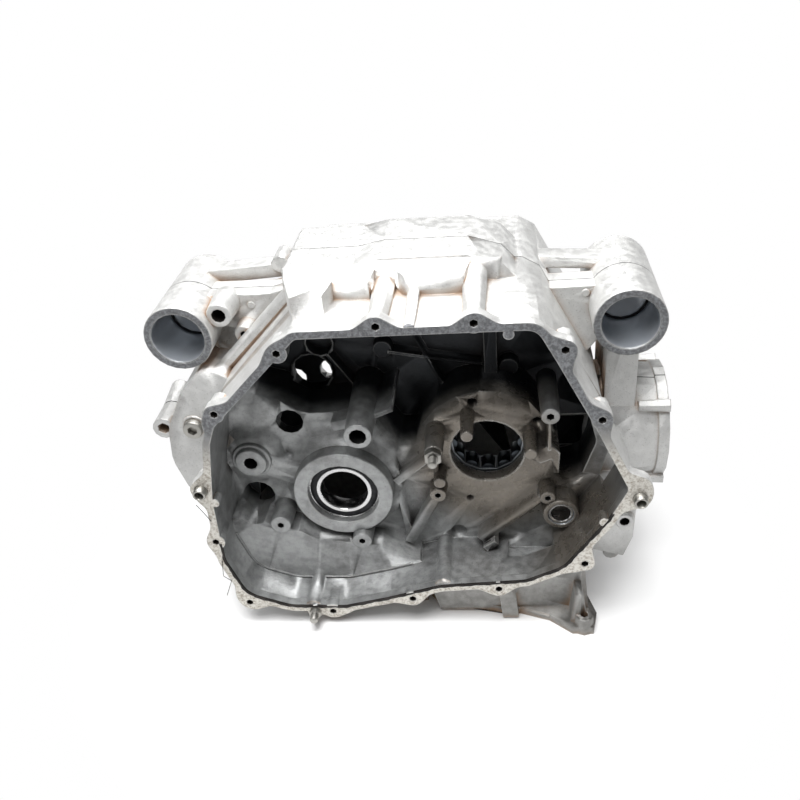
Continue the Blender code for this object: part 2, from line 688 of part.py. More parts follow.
def cylinder_mouth():
    """Mouth of the cylinder and its way up to the crank chamber."""
    return [
        rod((CYLINDER_X, PARTING_DEPTH, -OVERRUN), (CYLINDER_X, PARTING_DEPTH, CYLINDER_TOP),
            CYLINDER_R, sides=WIDE),
        box(CYLINDER_X - 34, CYLINDER_X + 26, PARTING_DEPTH - 16, PARTING_DEPTH + 16, 80, 112),
    ]


def output_bore(start, end):
    """Bore of the output housing between two depths."""
    bore = rod((130, OUTPUT_DEPTH, OUTPUT_Z), (OUTPUT_FACE + OVERRUN, OUTPUT_DEPTH, OUTPUT_Z),
               OUTPUT_BORE_R, sides=MEDIUM)
    seat = rod((OUTPUT_FACE - OUTPUT_SEAT_DEPTH, OUTPUT_DEPTH, OUTPUT_Z),
               (OUTPUT_FACE + OVERRUN, OUTPUT_DEPTH, OUTPUT_Z), OUTPUT_SEAT_R, sides=WIDE)
    unite(bore, seat)
    for x, depth, z in output_screws():
        if start < depth < end:
            unite(bore, rod((x - 14, depth, z), (x + OVERRUN, depth, z), 2.6, sides=SMALL))
    return bore


def front_case(finish):
    """Front half: cover flange, cavity, plates, mount tubes and foot."""
    case = prism(rounded(grown(CAVITY, WALL)), 0, BODY_STEP)
    unite(case, prism(rounded(BODY, HIDDEN_ARC_STEP), BODY_STEP - 1, FRONT_END))
    unite(case, prism(deck_profile(), DECK_FRONT, FRONT_END), *deck_front())
    unite(case, *left_flank(), *mounts(), *lower_right_lugs())
    unite(case, output_housing(0, FRONT_END), *foot_front())
    trim(case, FRONT_END, FRONT_END + 200)
    cut(case, prism(rounded(CAVITY), -OVERRUN, PLATE_DEPTH))
    cut(case, prism(rounded(pocket_outline(), HIDDEN_ARC_STEP), PLATE_DEPTH - 1, POCKET_DEPTH))
    cut(case, prism(rounded(left_chamber(), HIDDEN_ARC_STEP), PLATE_DEPTH + PLATE_THICKNESS - 1,
                    FRONT_END + OVERRUN))
    cut(case, box(84, 124, 32, 54, 42, 70))
    unite(case, *cover_flange(), *left_interior(), *right_interior(), *pocket_ribs())
    unite(case, boss(STUD_X, STUD_Z, 7.5, 0, 24, -1))
    cut(case, *front_holes(), *cylinder_mouth())
    cut(case, output_bore(0, FRONT_END))
    trim(case, FRONT_END, FRONT_END + 200)
    return finish_part(case, "front_case", finish)


def rear_rim_screws():
    """Screw places round the rear rim."""
    return [(-64, 291), (102, 290), (112, 60), (-120, 28)]


def rear_case(finish):
    """Rear half: chamber, rear wall with its bores, and the rim for the other cover."""
    wall_front = PARTING_DEPTH + REAR_CHAMBER_DEPTH
    wall_back = wall_front + REAR_WALL
    case = prism(rounded(BODY, HIDDEN_ARC_STEP), REAR_START, REAR_END)
    low_tube = rod((LOW_TUBE_X, REAR_START, LOW_TUBE_Z), (LOW_TUBE_X, LOW_TUBE_END, LOW_TUBE_Z + 6),
                   LOW_TUBE_R, LOW_TUBE_R - 0.5, MIDDLE)
    unite(case, prism(deck_profile(), REAR_START, DECK_END),
          prism(rounded(FLANK, HIDDEN_ARC_STEP), REAR_START, FLANK_BACK),
          tube(-1, REAR_START, TUBE_END), tube(1, REAR_START, TUBE_END), low_tube,
          left_web(REAR_START, PARTING_DEPTH + WEB_HALF, 284.5),
          right_web(REAR_START, PARTING_DEPTH + WEB_HALF, 280),
          rib((-170, 286), (-80, 292), 12, 134, 152), rib((170, 284), (100, 288), 10, 134, 152),
          boss(-104, 296, 8, 132, 156, 0), box(168, 194, REAR_START, 160, 160, 252),
          prism([(-222, 154), (-222, 168), (-200, 176), (-200, 140)], REAR_START, 138))
    unite(case, output_housing(REAR_START, REAR_END - 4),
          slab([(8, REAR_START), (152, REAR_START), (152, 196), (8, 196)], 0, FOOT_PLATE),
          prism([(142, 2), (152, 2), (147, 78), (135, 70)], REAR_START, 196),
          prism([(8, 2), (16, 2), (18, 46), (10, 44)], REAR_START, 196),
          box(-128, 10, REAR_START, 196, 0, 30),
          rod((CYLINDER_X, PARTING_DEPTH, 0), (CYLINDER_X, PARTING_DEPTH, 70),
              CYLINDER_R + CYLINDER_WALL, sides=WIDE))
    hollow = rounded(grown(BODY, -WALL), HIDDEN_ARC_STEP)
    cut(case, prism(hollow, REAR_START - OVERRUN, wall_front), prism(hollow, wall_back, REAR_END + OVERRUN))
    columns = [boss(x, z, BOLT_COLUMN_R, REAR_START, seat, 0, 8) for x, z, seat in CASE_BOLTS]
    rim = [boss(x, z, SCREW_BOSS_R, wall_back - 2, REAR_END, 0, 8) for x, z in rear_rim_screws()]
    unite(case, *columns, *rim)
    back = REAR_END + OVERRUN
    front = REAR_START - OVERRUN
    cut(case, *[hole(x, z, BOLT_HOLE_R, front, back) for x, z, _ in CASE_BOLTS],
        *[hole(x, z, SCREW_HOLE_R, REAR_END - SCREW_HOLE_DEPTH, back, 6) for x, z in rear_rim_screws()],
        hole(CRANK_X, CRANK_Z, 31, front, back, WIDE), hole(BALL_X, BALL_Z, 24, front, back, WIDE),
        hole(-117, 162, 11, front, back, MEDIUM), hole(-81, 171, 11, front, back, MEDIUM),
        hole(-TUBE_X, TUBE_Z, TUBE_BACK_BORE_R, front, back, WIDE),
        hole(TUBE_X, TUBE_Z, TUBE_BACK_BORE_R, front, back, WIDE),
        rod((LOW_TUBE_X, front, LOW_TUBE_Z), (LOW_TUBE_X, back, LOW_TUBE_Z), LOW_TUBE_BORE_R, sides=SMALL),
        *cylinder_mouth(), output_bore(REAR_START, REAR_END))
    trim(case, REAR_START - 200, REAR_START)
    return finish_part(case, "rear_case", finish)


def ball_bearing(steel, dark):
    """Bearing of the left shaft: two grooved rings, a crown cage and the balls."""
    back = BALL_FRONT + BALL_WIDTH
    middle = BALL_FRONT + BALL_WIDTH / 2
    pitch = (BALL_INNER_SHOULDER_R + BALL_OUTER_SHOULDER_R) / 2
    groove = BALL_R + BALL_GROOVE
    low, high = pitch - groove, pitch + groove
    half = groove + BALL_GROOVE
    turned("ball_bearing_outer_ring", [
        (BALL_OUTER_R, BALL_FRONT), (BALL_OUTER_SHOULDER_R, BALL_FRONT),
        (BALL_OUTER_SHOULDER_R, middle - half), (high, middle), (BALL_OUTER_SHOULDER_R, middle + half),
        (BALL_OUTER_SHOULDER_R, back), (BALL_OUTER_R, back)], BALL_X, BALL_Z, steel)
    turned("ball_bearing_inner_ring", [
        (BALL_BORE_R, BALL_FRONT + 1), (BALL_BORE_R + 1, BALL_FRONT), (BALL_INNER_SHOULDER_R, BALL_FRONT),
        (BALL_INNER_SHOULDER_R, middle - half), (low, middle), (BALL_INNER_SHOULDER_R, middle + half),
        (BALL_INNER_SHOULDER_R, back), (BALL_BORE_R, back)], BALL_X, BALL_Z, steel)
    cage_front, cage_back = BALL_FRONT + 0.8, middle - BALL_R - SEAT_GAP
    ring = hole(BALL_X, BALL_Z, BALL_OUTER_SHOULDER_R - SEAT_GAP * 2, cage_front, cage_back, WIDE)
    cut(ring, hole(BALL_X, BALL_Z, BALL_INNER_SHOULDER_R + SEAT_GAP * 2, cage_front - 1, cage_back + 1, WIDE))
    spheres = []
    for index in range(BALL_COUNT):
        turn = 2 * math.pi * index / BALL_COUNT
        x, z = BALL_X + pitch * math.cos(turn), BALL_Z + pitch * math.sin(turn)
        spheres.append((index, x, z))
        gap = math.pi / BALL_COUNT
        fx, fz = BALL_X + pitch * math.cos(turn + gap), BALL_Z + pitch * math.sin(turn + gap)
        unite(ring, hole(fx, fz, 1.7, cage_front + 0.8, middle + 2, 4))
    finish_part(ring, "ball_bearing_cage", dark, (BALL_X, middle, BALL_Z))
    for index, x, z in spheres:
        ball = ball_shape(x, z, middle, BALL_R)
        finish_part(ball, f"bearing_ball_{index + 1:02d}", steel, (BALL_X, middle, BALL_Z))


def ball_shape(x, z, depth, radius):
    """One ball."""
    shape = bmesh.new()
    bmesh.ops.create_uvsphere(shape, u_segments=8, v_segments=4, radius=radius * MM)
    bmesh.ops.translate(shape, verts=shape.verts, vec=place(x, depth, z))
    return mesh_object("ball", shape)


def roller_bearing(steel, brass):
    """Crank bearing with no inner ring: outer ring, cage and the rollers."""
    back = ROLLER_FRONT + ROLLER_WIDTH
    middle = ROLLER_FRONT + ROLLER_WIDTH / 2
    half = ROLLER_LENGTH / 2
    turned("roller_bearing_outer_ring", [
        (ROLLER_OUTER_R, ROLLER_FRONT), (ROLLER_TRACK_R - 3, ROLLER_FRONT),
        (ROLLER_TRACK_R - 3, middle - half - SEAT_GAP), (ROLLER_TRACK_R, middle - half - SEAT_GAP),
        (ROLLER_TRACK_R, back), (ROLLER_OUTER_R, back)], CRANK_X, CRANK_Z, steel)
    pitch = ROLLER_TRACK_R - ROLLER_R - 2 * SEAT_GAP
    outer, inner = ROLLER_TRACK_R - 3 - 2 * SEAT_GAP, pitch - 1.4
    cage = hole(CRANK_X, CRANK_Z, outer, middle - half - 2.4, middle + half + 2.4, ROLLER_COUNT)
    cut(cage, hole(CRANK_X, CRANK_Z, inner, middle - 20, middle + 20, ROLLER_COUNT))
    centre = Vector((CRANK_X, CRANK_Z))
    rays = []
    for index in range(ROLLER_COUNT):
        turn = 2 * math.pi * index / ROLLER_COUNT - math.pi / 2
        rays.append(Vector((math.cos(turn), math.sin(turn))))
    cut(cage, *[rib(centre + ray * (inner - 3), centre + ray * (outer + 3), 2 * (ROLLER_R + SEAT_GAP),
                    middle - half - SEAT_GAP, middle + half + SEAT_GAP) for ray in rays])
    finish_part(cage, "roller_bearing_cage", brass, (CRANK_X, middle, CRANK_Z))
    for index, ray in enumerate(rays):
        x, z = centre + ray * pitch
        roller = hole(x, z, ROLLER_R, middle - half, middle + half, SMALL + 2)
        finish_part(roller, f"crank_roller_{index + 1:02d}", steel, (CRANK_X, middle, CRANK_Z))


def hexagon(x, z, radius, front, back):
    """Six-sided bar along the depth."""
    return hole(x, z, radius, front, back, 6)


def case_bolts(steel):
    """Bolts that join the two halves from behind."""
    for index, (x, z, seat) in enumerate(CASE_BOLTS):
        face = seat + SEAT_GAP
        bolt = hole(x, z, BOLT_R, PARTING_DEPTH - BOLT_REACH, face + 2, 6)
        unite(bolt, hexagon(x, z, BOLT_HEAD_R, face, face + BOLT_HEAD_HEIGHT))
        finish_part(bolt, f"case_bolt_{index + 1}", steel, (x, face, z))


def small_pieces(steel, bronze):
    """Dowel sleeves, cover stud, plug, adjuster with its nut, and the bush."""
    for side, (x, z) in DOWELS.items():
        turned(f"dowel_sleeve_{side}", [
            (DOWEL_R, -DOWEL_PROUD + 0.8), (DOWEL_R - 0.8, -DOWEL_PROUD), (DOWEL_BORE_R, -DOWEL_PROUD),
            (DOWEL_BORE_R, DOWEL_SEAT_DEPTH), (DOWEL_R, DOWEL_SEAT_DEPTH)], x, z, steel, MIDDLE)
    stud = hole(STUD_X, STUD_Z, STUD_SHANK_R, -2, STUD_SHANK, 8)
    unite(stud, hole(STUD_X, STUD_Z, STUD_HEAD_R, -STUD_COLLAR, -SEAT_GAP, MIDDLE),
          hole(STUD_X, STUD_Z, STUD_TIP_R, -STUD_TIP, -STUD_COLLAR + 1, MEDIUM))
    finish_part(stud, "cover_stud", steel, (STUD_X, 0, STUD_Z))
    plug = hole(PLUG_X, PLUG_Z, PLUG_SHANK_R, PLUG_FACE - 2, PLUG_FACE + PLUG_SHANK, 12)
    head = PLUG_FACE - SEAT_GAP
    unite(plug, rod((PLUG_X, head - PLUG_HEAD, PLUG_Z), (PLUG_X, head, PLUG_Z), PLUG_HEAD_R - 0.6,
                    PLUG_HEAD_R, WIDE))
    cut(plug, hexagon(PLUG_X, PLUG_Z, SOCKET_R, head - PLUG_HEAD - 1, head - 1.5))
    finish_part(plug, "socket_plug", steel, (PLUG_X, PLUG_FACE, PLUG_Z))
    adjuster = hole(ADJUSTER_X, ADJUSTER_Z, ADJUSTER_R, ADJUSTER_TIP, ADJUSTER_ROOT, MEDIUM)
    finish_part(adjuster, "adjuster_stud", steel, (ADJUSTER_X, ADJUSTER_TIP, ADJUSTER_Z))
    nut_back = ADJUSTER_POST_TIP - SEAT_GAP
    nut = hexagon(ADJUSTER_X, ADJUSTER_Z, NUT_R, nut_back - NUT_HEIGHT, nut_back)
    cut(nut, hole(ADJUSTER_X, ADJUSTER_Z, ADJUSTER_R + SEAT_GAP, 0, 60, MEDIUM))
    finish_part(nut, "adjuster_nut", steel, (ADJUSTER_X, nut_back, ADJUSTER_Z))
    turned("shaft_bush", [
        (BUSH_R, BUSH_FRONT + 0.8), (BUSH_R - 0.8, BUSH_FRONT), (BUSH_BORE_R, BUSH_FRONT),
        (BUSH_BORE_R, BUSH_FRONT + BUSH_LENGTH), (BUSH_R, BUSH_FRONT + BUSH_LENGTH)],
        BUSH_X, BUSH_Z, bronze, WIDE)


def main():
    """Build every piece."""
    cast = material("cast_aluminium", (0.42, 0.43, 0.44), 0.7, 0.5)
    cast_rear = material("cast_aluminium_rear", (0.46, 0.47, 0.48), 0.7, 0.55)
    steel = material("bearing_steel", (0.5, 0.5, 0.5), 1.0, 0.25)
    dark = material("bearing_cage", (0.05, 0.05, 0.055), 0.0, 0.5)
    brass = material("roller_cage", (0.3, 0.32, 0.33), 1.0, 0.4)
    fastener = material("fastener_steel", (0.4, 0.4, 0.38), 1.0, 0.4)
    front_case(cast)
    rear_case(cast_rear)
    ball_bearing(steel, dark)
    roller_bearing(steel, brass)
    small_pieces(fastener, steel)
    case_bolts(fastener)


for old in list(bpy.data.objects):
    bpy.data.objects.remove(old)
parts = bpy.data.collections.new("engine_crankcase")
tools = bpy.data.collections.new("cutters")
bpy.context.scene.collection.children.link(parts)
bpy.context.scene.collection.children.link(tools)
datum = bpy.data.objects.new("datum", None)
datum.location = (DATUM_X * MM, (PARTING_DEPTH - DATUM_DEPTH) * MM, 0)
parts.objects.link(datum)
main()
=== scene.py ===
"""Finish of the engine crankcase: turned bearings, cast and machined surfaces, and a studio.

The file is laid out as an add-on and run as a script. Sizes are in metres. The part's
drawing gives x from the midline of the mount tubes, depth behind the cover face and z
above the floor; at() turns these, in millimetres, into the frame's own coordinates.
"""
import math

import bpy
from bpy.props import FloatProperty, FloatVectorProperty, IntProperty, PointerProperty
from bpy.types import Operator, Panel, PropertyGroup
from mathutils import Matrix, Vector


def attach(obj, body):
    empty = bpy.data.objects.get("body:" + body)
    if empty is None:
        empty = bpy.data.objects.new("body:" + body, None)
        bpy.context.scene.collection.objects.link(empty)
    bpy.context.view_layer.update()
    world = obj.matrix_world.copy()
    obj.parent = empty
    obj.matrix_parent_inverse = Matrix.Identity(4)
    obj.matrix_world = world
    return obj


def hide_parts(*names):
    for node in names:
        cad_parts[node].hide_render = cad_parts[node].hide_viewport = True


bl_info = {
    "name": "Engine crankcase finish",
    "version": (1, 0, 0),
    "blender": (4, 5, 0),
    "location": "3D View > Sidebar > Crankcase",
    "description": "Dresses the crankcase with turned bearings, cast and machined finishes and a studio",
    "category": "Object",
}

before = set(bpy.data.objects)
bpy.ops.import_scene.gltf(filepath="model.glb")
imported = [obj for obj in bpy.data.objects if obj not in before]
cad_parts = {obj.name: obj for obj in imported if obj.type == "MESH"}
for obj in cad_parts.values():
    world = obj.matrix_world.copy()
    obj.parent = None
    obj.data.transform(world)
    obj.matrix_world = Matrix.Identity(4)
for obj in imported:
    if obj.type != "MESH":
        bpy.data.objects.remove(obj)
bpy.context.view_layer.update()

MM = 0.001
MERGE_DISTANCE = 0.000002
DRAWING_X = 6.5
DRAWING_DEPTH = 96.0
# Ball bearing: axis, faces of its rings, and the balls on their pitch circle
BALL_AXIS = (-58.2, 117.2)
BALL_FRONT, BALL_BACK = 46.0, 61.0
BALL_MIDDLE = (BALL_FRONT + BALL_BACK) / 2
BALL_PITCH_R = 27.2
BALL_COUNT = 9
BALL_R = 4.6
GROOVE_R = 4.8
GROOVE_ANGLES = range(-55, 56, 11)
# Crank bearing: axis, faces of its ring, and the rollers on their pitch circle
CRANK_AXIS = (68.1, 146.3)
ROLLER_RING_FRONT, ROLLER_RING_BACK = 73.5, 97.5
ROLLER_FRONT, ROLLER_BACK = 78.0, 93.0
ROLLER_PITCH_R = 32.4
ROLLER_COUNT = 13
ROLLER_R = 6.2
BUSH_AXIS = (130.0, 92.3)
DOWELS = {"right": (187.4, 143.1), "left": (-166.7, 156.4)}
STUD_AXIS = (-90.2, 15.0)
PLUG_AXIS = (-185.5, 178.5)
ADJUSTER_AXIS = (24.9, 170.7)
CASE_BOLTS = [(-126.0, 262.0, 129.0), (140.0, 262.0, 129.0), (-190.0, 128.0, 140.0)]
# Inner edge of the cover face, clockwise: x, z and the radius of each corner
CAVITY = [
    (-67, 296, 6), (107, 297, 14), (121, 271, 20), (150, 214, 20), (179, 152, 9),
    (164, 119, 10), (130, 68, 25), (98, 52, 20), (25, 46, 30), (-22, 31, 20),
    (-62, 20.5, 15), (-112, 21, 30), (-150, 36, 25), (-163, 78, 30), (-160, 145, 20),
    (-150, 203, 15), (-143, 220, 8),
]
RIM_WALL = 5.5
# Depth of the rim's skin, and how far a finished surface stands proud of the rough casting
RIM_DEPTH = 9.0
PROUD = 0.15
PARTING_DEPTH = 115.0
# Cover screws and what else makes the rim bulge: x, z and radius of the boss
COVER_SCREWS = [
    (-81.8, 283.9), (-6.5, 303.3), (62.9, 303.5), (126.7, 279.5), (155.0, 218.6), (147.1, 73.1),
    (75.2, 43.4), (-0.5, 31.4), (-74.1, 15.4), (-149.3, 26.6), (-165.8, 99.8), (-139.9, 231.8),
]
SCREW_BOSS_R = 8.0
SCREW_HOLE_R = 3.1
DOWEL_BOSS_R = 9.0
DOWEL_HOLE_R = 5.75
STUD_HOLE_R = 3.3
LUGS = [(87.0, 293.5), (-158.0, 143.0), (161.0, 118.5)]
LUG_R = 4.0
# Mount tubes: axis, and the radius of the bore and of the step at its end
TUBE_X, TUBE_Z = 181.9, 263.6
TUBE_BORE_R, TUBE_STEP_R = 22.5, 20.5
# Round bosses: x, z, radius, depth of the tip and of the root, growth to the root, radius of the hole
BOSSES = [
    (-34.3, 193.5, 11.2, 20, 108, 2.5, 7.2), (-117.7, 88.0, 9, 34, 61, 1, 3.1),
    (-45.8, 68.5, 8.6, 34, 61, 1, 3.1), (-136.6, 149.5, 13.5, 45, 52, 0.6, 6.1),
    (-136.6, 149.5, 17, 48.5, 61, 1, 14.6), (52.7, 186.8, 4.8, 26, 61, 1, 0),
    (103.7, 167.9, 4.8, 26, 61, 1, 0), (*ADJUSTER_AXIS, 7.3, 26, 61, 1.2, 4.2),
    (27.1, 128.5, 5, 40, 61, 0.8, 0), (24.3, 111.1, 7, 45, 61, 0.8, 2.8),
    (118.8, 109.0, 6.4, 42, 61, 0.8, 2.8), (119.2, 201.9, 7.2, 30, 91, 1, 3.2),
    (-146.8, 278.4, 10.2, 75, 101, 1.5, 6), (-132.4, 255.3, 7.6, 85, 101, 0.6, 3),
    (-18.8, 229.4, 7.9, 97, 108, 0.6, 0), (88.1, 208.2, 8.1, 97, 108, 0.6, 0),
    (182.0, 94.4, 7.5, 28, 36, 0.5, 4.2), (*PLUG_AXIS, 11.0, 61, 70, 1, 8.8),
    (-126.2, 274.2, 3.3, 100.3, 103, 0.1, 0), (150.8, 273.6, 3.3, 100.3, 103, 0.1, 0),
]
# Bored surfaces of the castings: axis x, axis z and radius
BORES = [(x, TUBE_Z, radius) for x in (-TUBE_X, TUBE_X) for radius in (TUBE_BORE_R, TUBE_STEP_R)]
BORES.append((*BUSH_AXIS, 11.4))
# Holes whose walls get painted shade, near black: screws and dowels, the bosses, the ball bearing's seat and
# the hole above it on the left
HOLES = [(x, z, 3.2) for x, z in [*COVER_SCREWS, STUD_AXIS]] + [(x, z, 5.5) for x, z in DOWELS.values()]
HOLES += [(x, z, bore) for x, z, *_, bore in BOSSES if bore]
HOLES += [(*BALL_AXIS, 34.3), (*BALL_AXIS, 24.0), (-99.9, 182.0, 12.0)]
# Loose strands of gasket at the left of the rim: points of x, depth and z
STRANDS = [
    [(-174.0, -0.6, 142.0), (-169.7, -0.6, 134.2), (-164.8, -0.3, 123.5)],
    [(-164.8, -0.3, 78.0), (-167.1, -0.6, 59.9), (-161.0, -0.4, 53.7), (-168.5, -0.8, 36.1)],
]
# Old gasket is left below this height, and higher towards the right: rise in z for each step in x
GASKET_TOP = 113.0
EDGE_TILT = 0.09
# Edge bead of the low step inside: its height, its end in x and its depths
BEAD_TOP = 92.0
BEAD_END = -2.0
BEAD_DEPTHS = (35.6, 37.4)
# Rooms that open off the cavity beyond its outline: lowest and highest x, depth and z
SIDE_ROOMS = [(82, 126, 25, 58, 40, 72), (150, 173.5, 45, 114, 80, 140)]
# Depths of the faced surfaces, and how near a face has to lie to one of them
FACED_DEPTHS = (0.0, 65.5, 205.0)
FACED_REACH = 0.2
# How near the corners of a face have to lie to a bore's radius
BORE_REACH = 0.9
# How far in front of a face, in metres, the room is that it looks into
ROOM_STEP = 0.004
# What lies behind the rear wall, or in the cylinder's mouth under the cavity, is in the open
REAR_RECESS = 168.0
MOUTH_DEPTH, MOUTH_TOP = 80.0, 92.0
# Brown oil film: middle in x, depth and z, and where its fading starts and ends, in metres
OIL_FILMS = [((78, 61, 140), 0.060, 0.095), ((150, 25, 92), 0.025, 0.075)]
# Heights in metres between which the faced rim turns from washed and dirty to dark
WASHED_FROM, WASHED_TO = 0.222, 0.170
# Depths in the frame, in metres, between which the cavity fades to black, as painted shade deep in the cavity
BLACK_FROM, BLACK_TO = -0.034, -0.012


def at(x, depth, z):
    """A point of the drawing in the frame, in metres."""
    return Vector(((x + DRAWING_X) * MM, (depth - DRAWING_DEPTH) * MM, z * MM))


def around(axis, radius, depth, count, first):
    """Places on a circle about an axis, the first at a given angle."""
    turns = [first + 2 * math.pi * index / count for index in range(count)]
    return [at(axis[0] + radius * math.cos(turn), depth, axis[1] + radius * math.sin(turn)) for turn in turns]


def colour_setting(name, description, default):
    """Colour that a user can change."""
    return FloatVectorProperty(
        name=name, description=description, subtype="COLOR", size=3, min=0, max=1, default=default)


class FinishSettings(PropertyGroup):
    """Colours and grain of the castings."""
    cast_colour: colour_setting("Cast colour", "Bare cast alloy in the open", (0.58, 0.58, 0.57))
    inside_colour: colour_setting(
        "Inside colour", "Cast alloy that oil has darkened", (0.355, 0.362, 0.362))
    # Kept dark: the faced alloy's own grey plus painted shade, as the faced surfaces look forward away from
    # the top lamp
    machined_colour: colour_setting("Machined colour", "Faced and bored alloy", (0.15, 0.155, 0.165))
    washed_colour: colour_setting(
        "Washed colour", "Faced alloy lower down, pale with dried dirt", (0.68, 0.66, 0.61))
    bored_colour: colour_setting("Bored colour", "Alloy turned by the boring bar", (0.42, 0.45, 0.49))
    oil_colour: colour_setting("Oil colour", "Brown oil film round the crank bore", (0.15, 0.120, 0.086))
    stain_colour: colour_setting("Stain colour", "Burnt oil in the corners", (0.045, 0.040, 0.038))
    rust_colour: colour_setting("Rust colour", "Rusty dust in the outer corners", (0.36, 0.22, 0.12))
    grain: FloatProperty(
        name="Grain", description="Size of the sand cast grain", unit="LENGTH", min=0.0002,
        max=0.005, default=0.0011)
    edge_round: FloatProperty(
        name="Edge rounding", description="Radius at which cast edges look rounded", unit="LENGTH",
        min=0, max=0.004, default=0.0016)


class BearingSettings(PropertyGroup):
    """How finely the round pieces are turned."""
    ring_sides: IntProperty(
        name="Ring sides", description="Sides of each bearing ring", min=24, max=192, default=96)
    pin_sides: IntProperty(
        name="Pin sides", description="Sides of studs, sleeves and rollers", min=12, max=96, default=40)


class StudioSettings(PropertyGroup):
    """Camera, floor and lamps."""
    camera_place: FloatVectorProperty(
        name="Camera place", description="Where the camera stands", subtype="TRANSLATION",
        size=3, default=(0.0851, -0.61926, 0.583))
    camera_heading: FloatProperty(
        name="Camera heading", description="Turn of the camera to its left, from straight ahead",
        subtype="ANGLE", default=math.radians(7.922))
    camera_tilt: FloatProperty(
        name="Camera tilt", description="How far the camera looks down", subtype="ANGLE",
        default=math.radians(32.913))
    camera_roll: FloatProperty(
        name="Camera roll", description="Turn of the camera about its line of sight", subtype="ANGLE",
        default=math.radians(-5.773))
    lens: FloatProperty(
        name="Lens", description="Focal length on a 36 mm sensor, in millimetres", min=10, max=200,
        default=37.935)
    floor_colour: colour_setting("Floor colour", "Colour of the floor", (0.93, 0.93, 0.93))
    top_power: FloatProperty(
        name="Top lamp", description="Power of the softbox above, in watts", min=0, max=500, default=26)
    high_power: FloatProperty(
        name="High lamp", description="Power of the softbox above the camera, in watts", min=0,
        max=500, default=17)
    front_power: FloatProperty(
        name="Front lamp", description="Power of the softbox at the front left, in watts", min=0,
        max=500, default=1.5)


def deselect():
    """Deselect everything, as an operator acts on all that is selected."""
    bpy.ops.object.select_all(action="DESELECT")


def select_only(*pieces):
    """Select these pieces alone, with the first of them active."""
    deselect()
    for piece in pieces:
        piece.select_set(True)
    bpy.context.view_layer.objects.active = pieces[0]


def turned(x, z, rows, sides, closed=True):
    """Ring or pin drawn out loop by loop along the depth, from rows of radius and depth."""
    deselect()
    radius, depth = rows[0]
    bpy.ops.mesh.primitive_circle_add(
        vertices=sides, radius=radius * MM, fill_type="NOTHING", location=at(x, depth, z),
        rotation=(math.radians(90), 0, 0))
    bpy.ops.object.mode_set(mode="EDIT")
    bpy.ops.mesh.select_all(action="SELECT")
    path = list(rows) + [rows[0]] if closed else list(rows)
    for (radius0, depth0), (radius1, depth1) in zip(path, path[1:]):
        bpy.ops.mesh.extrude_edges_move(
            TRANSFORM_OT_translate={"value": (0, (depth1 - depth0) * MM, 0)})
        scale = radius1 / radius0
        bpy.ops.transform.resize(value=(scale, 1, scale), center_override=at(x, depth1, z))
    bpy.ops.mesh.select_all(action="SELECT")
    bpy.ops.mesh.remove_doubles(threshold=MERGE_DISTANCE)
    if not closed:
        bpy.ops.mesh.fill_holes(sides=0)
    bpy.ops.mesh.normals_make_consistent(inside=False)
    bpy.ops.object.mode_set(mode="OBJECT")
    bpy.ops.object.transform_apply(location=True, rotation=True, scale=True)
    return bpy.context.object


def joined(pieces):
    """Several pieces made one object."""
    select_only(*pieces)
    bpy.ops.object.join()
    return pieces[0]


def apply_modifier(piece, modifier):
    """Apply one modifier of a piece."""
    select_only(piece)
    bpy.ops.object.modifier_apply(modifier=modifier.name)


def bevelled(piece, width, angle=40):
    """Round the sharp edges of a piece."""
    modifier = piece.modifiers.new("edges", "BEVEL")
    modifier.width = width * MM
    modifier.segments = 2
    modifier.limit_method = "ANGLE"
    modifier.angle_limit = math.radians(angle)
    apply_modifier(piece, modifier)


def copies(piece, places):
    """A piece made at the first place and its copies at the others, each with its own mesh."""
    pieces = [piece]
    for place in places[1:]:
        select_only(piece)
        bpy.ops.object.duplicate(linked=False)
        bpy.ops.transform.translate(value=place - places[0])
        bpy.ops.object.transform_apply(location=True, rotation=True, scale=True)
        pieces.append(bpy.context.object)
    return pieces


def carved(piece, cutter, operation="DIFFERENCE"):
    """Cut one piece with another, or join them."""
    modifier = piece.modifiers.new("cut", "BOOLEAN")
    modifier.operation = operation
    modifier.solver = "EXACT"
    modifier.object = cutter
    apply_modifier(piece, modifier)
    bpy.data.objects.remove(cutter)


def finished(piece, name, material, body, nodes=(), angle=35):
    """Put a piece's place into its mesh, shade it, and hang it on its body."""
    select_only(piece)
    bpy.ops.object.transform_apply(location=True, rotation=True, scale=True)
    bpy.ops.object.shade_smooth_by_angle(angle=math.radians(angle))
    piece.name = piece.data.name = name
    piece.data.materials.clear()
    piece.data.materials.append(material)
    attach(piece, body)
    if nodes:
        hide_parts(*nodes)
    return piece


def replacing(piece, node, material, body, angle=35):
    """Finish a piece that takes the place of a CAD node."""
    return finished(piece, node + "_fine", material, body, (node,), angle)


def copied(node):
    """Copy of a CAD node with its loose triangles merged."""
    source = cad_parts[node]
    piece = bpy.data.objects.new(node + "_fine", source.data.copy())
    bpy.context.scene.collection.objects.link(piece)
    select_only(piece)
    bpy.ops.object.mode_set(mode="EDIT")
    bpy.ops.mesh.select_all(action="SELECT")
    bpy.ops.mesh.remove_doubles(threshold=MERGE_DISTANCE)
    bpy.ops.mesh.dissolve_limited(angle_limit=math.radians(0.05))
    bpy.ops.mesh.select_all(action="SELECT")
    bpy.ops.mesh.quads_convert_to_tris()
    bpy.ops.object.mode_set(mode="OBJECT")
    return piece


def link(tree, start, end):
    """Join an output socket to an input socket."""
    tree.links.new(start, end)


def math_node(tree, operation, first, second=None, clamp=False):
    """Math node whose inputs are sockets or numbers."""
    node = tree.nodes.new("ShaderNodeMath")
    node.operation = operation
    node.use_clamp = clamp
    for socket, value in zip(node.inputs, (first, second)):
        if isinstance(value, bpy.types.NodeSocket):
            link(tree, value, socket)
        elif value is not None:
            socket.default_value = value
    return node.outputs[0]


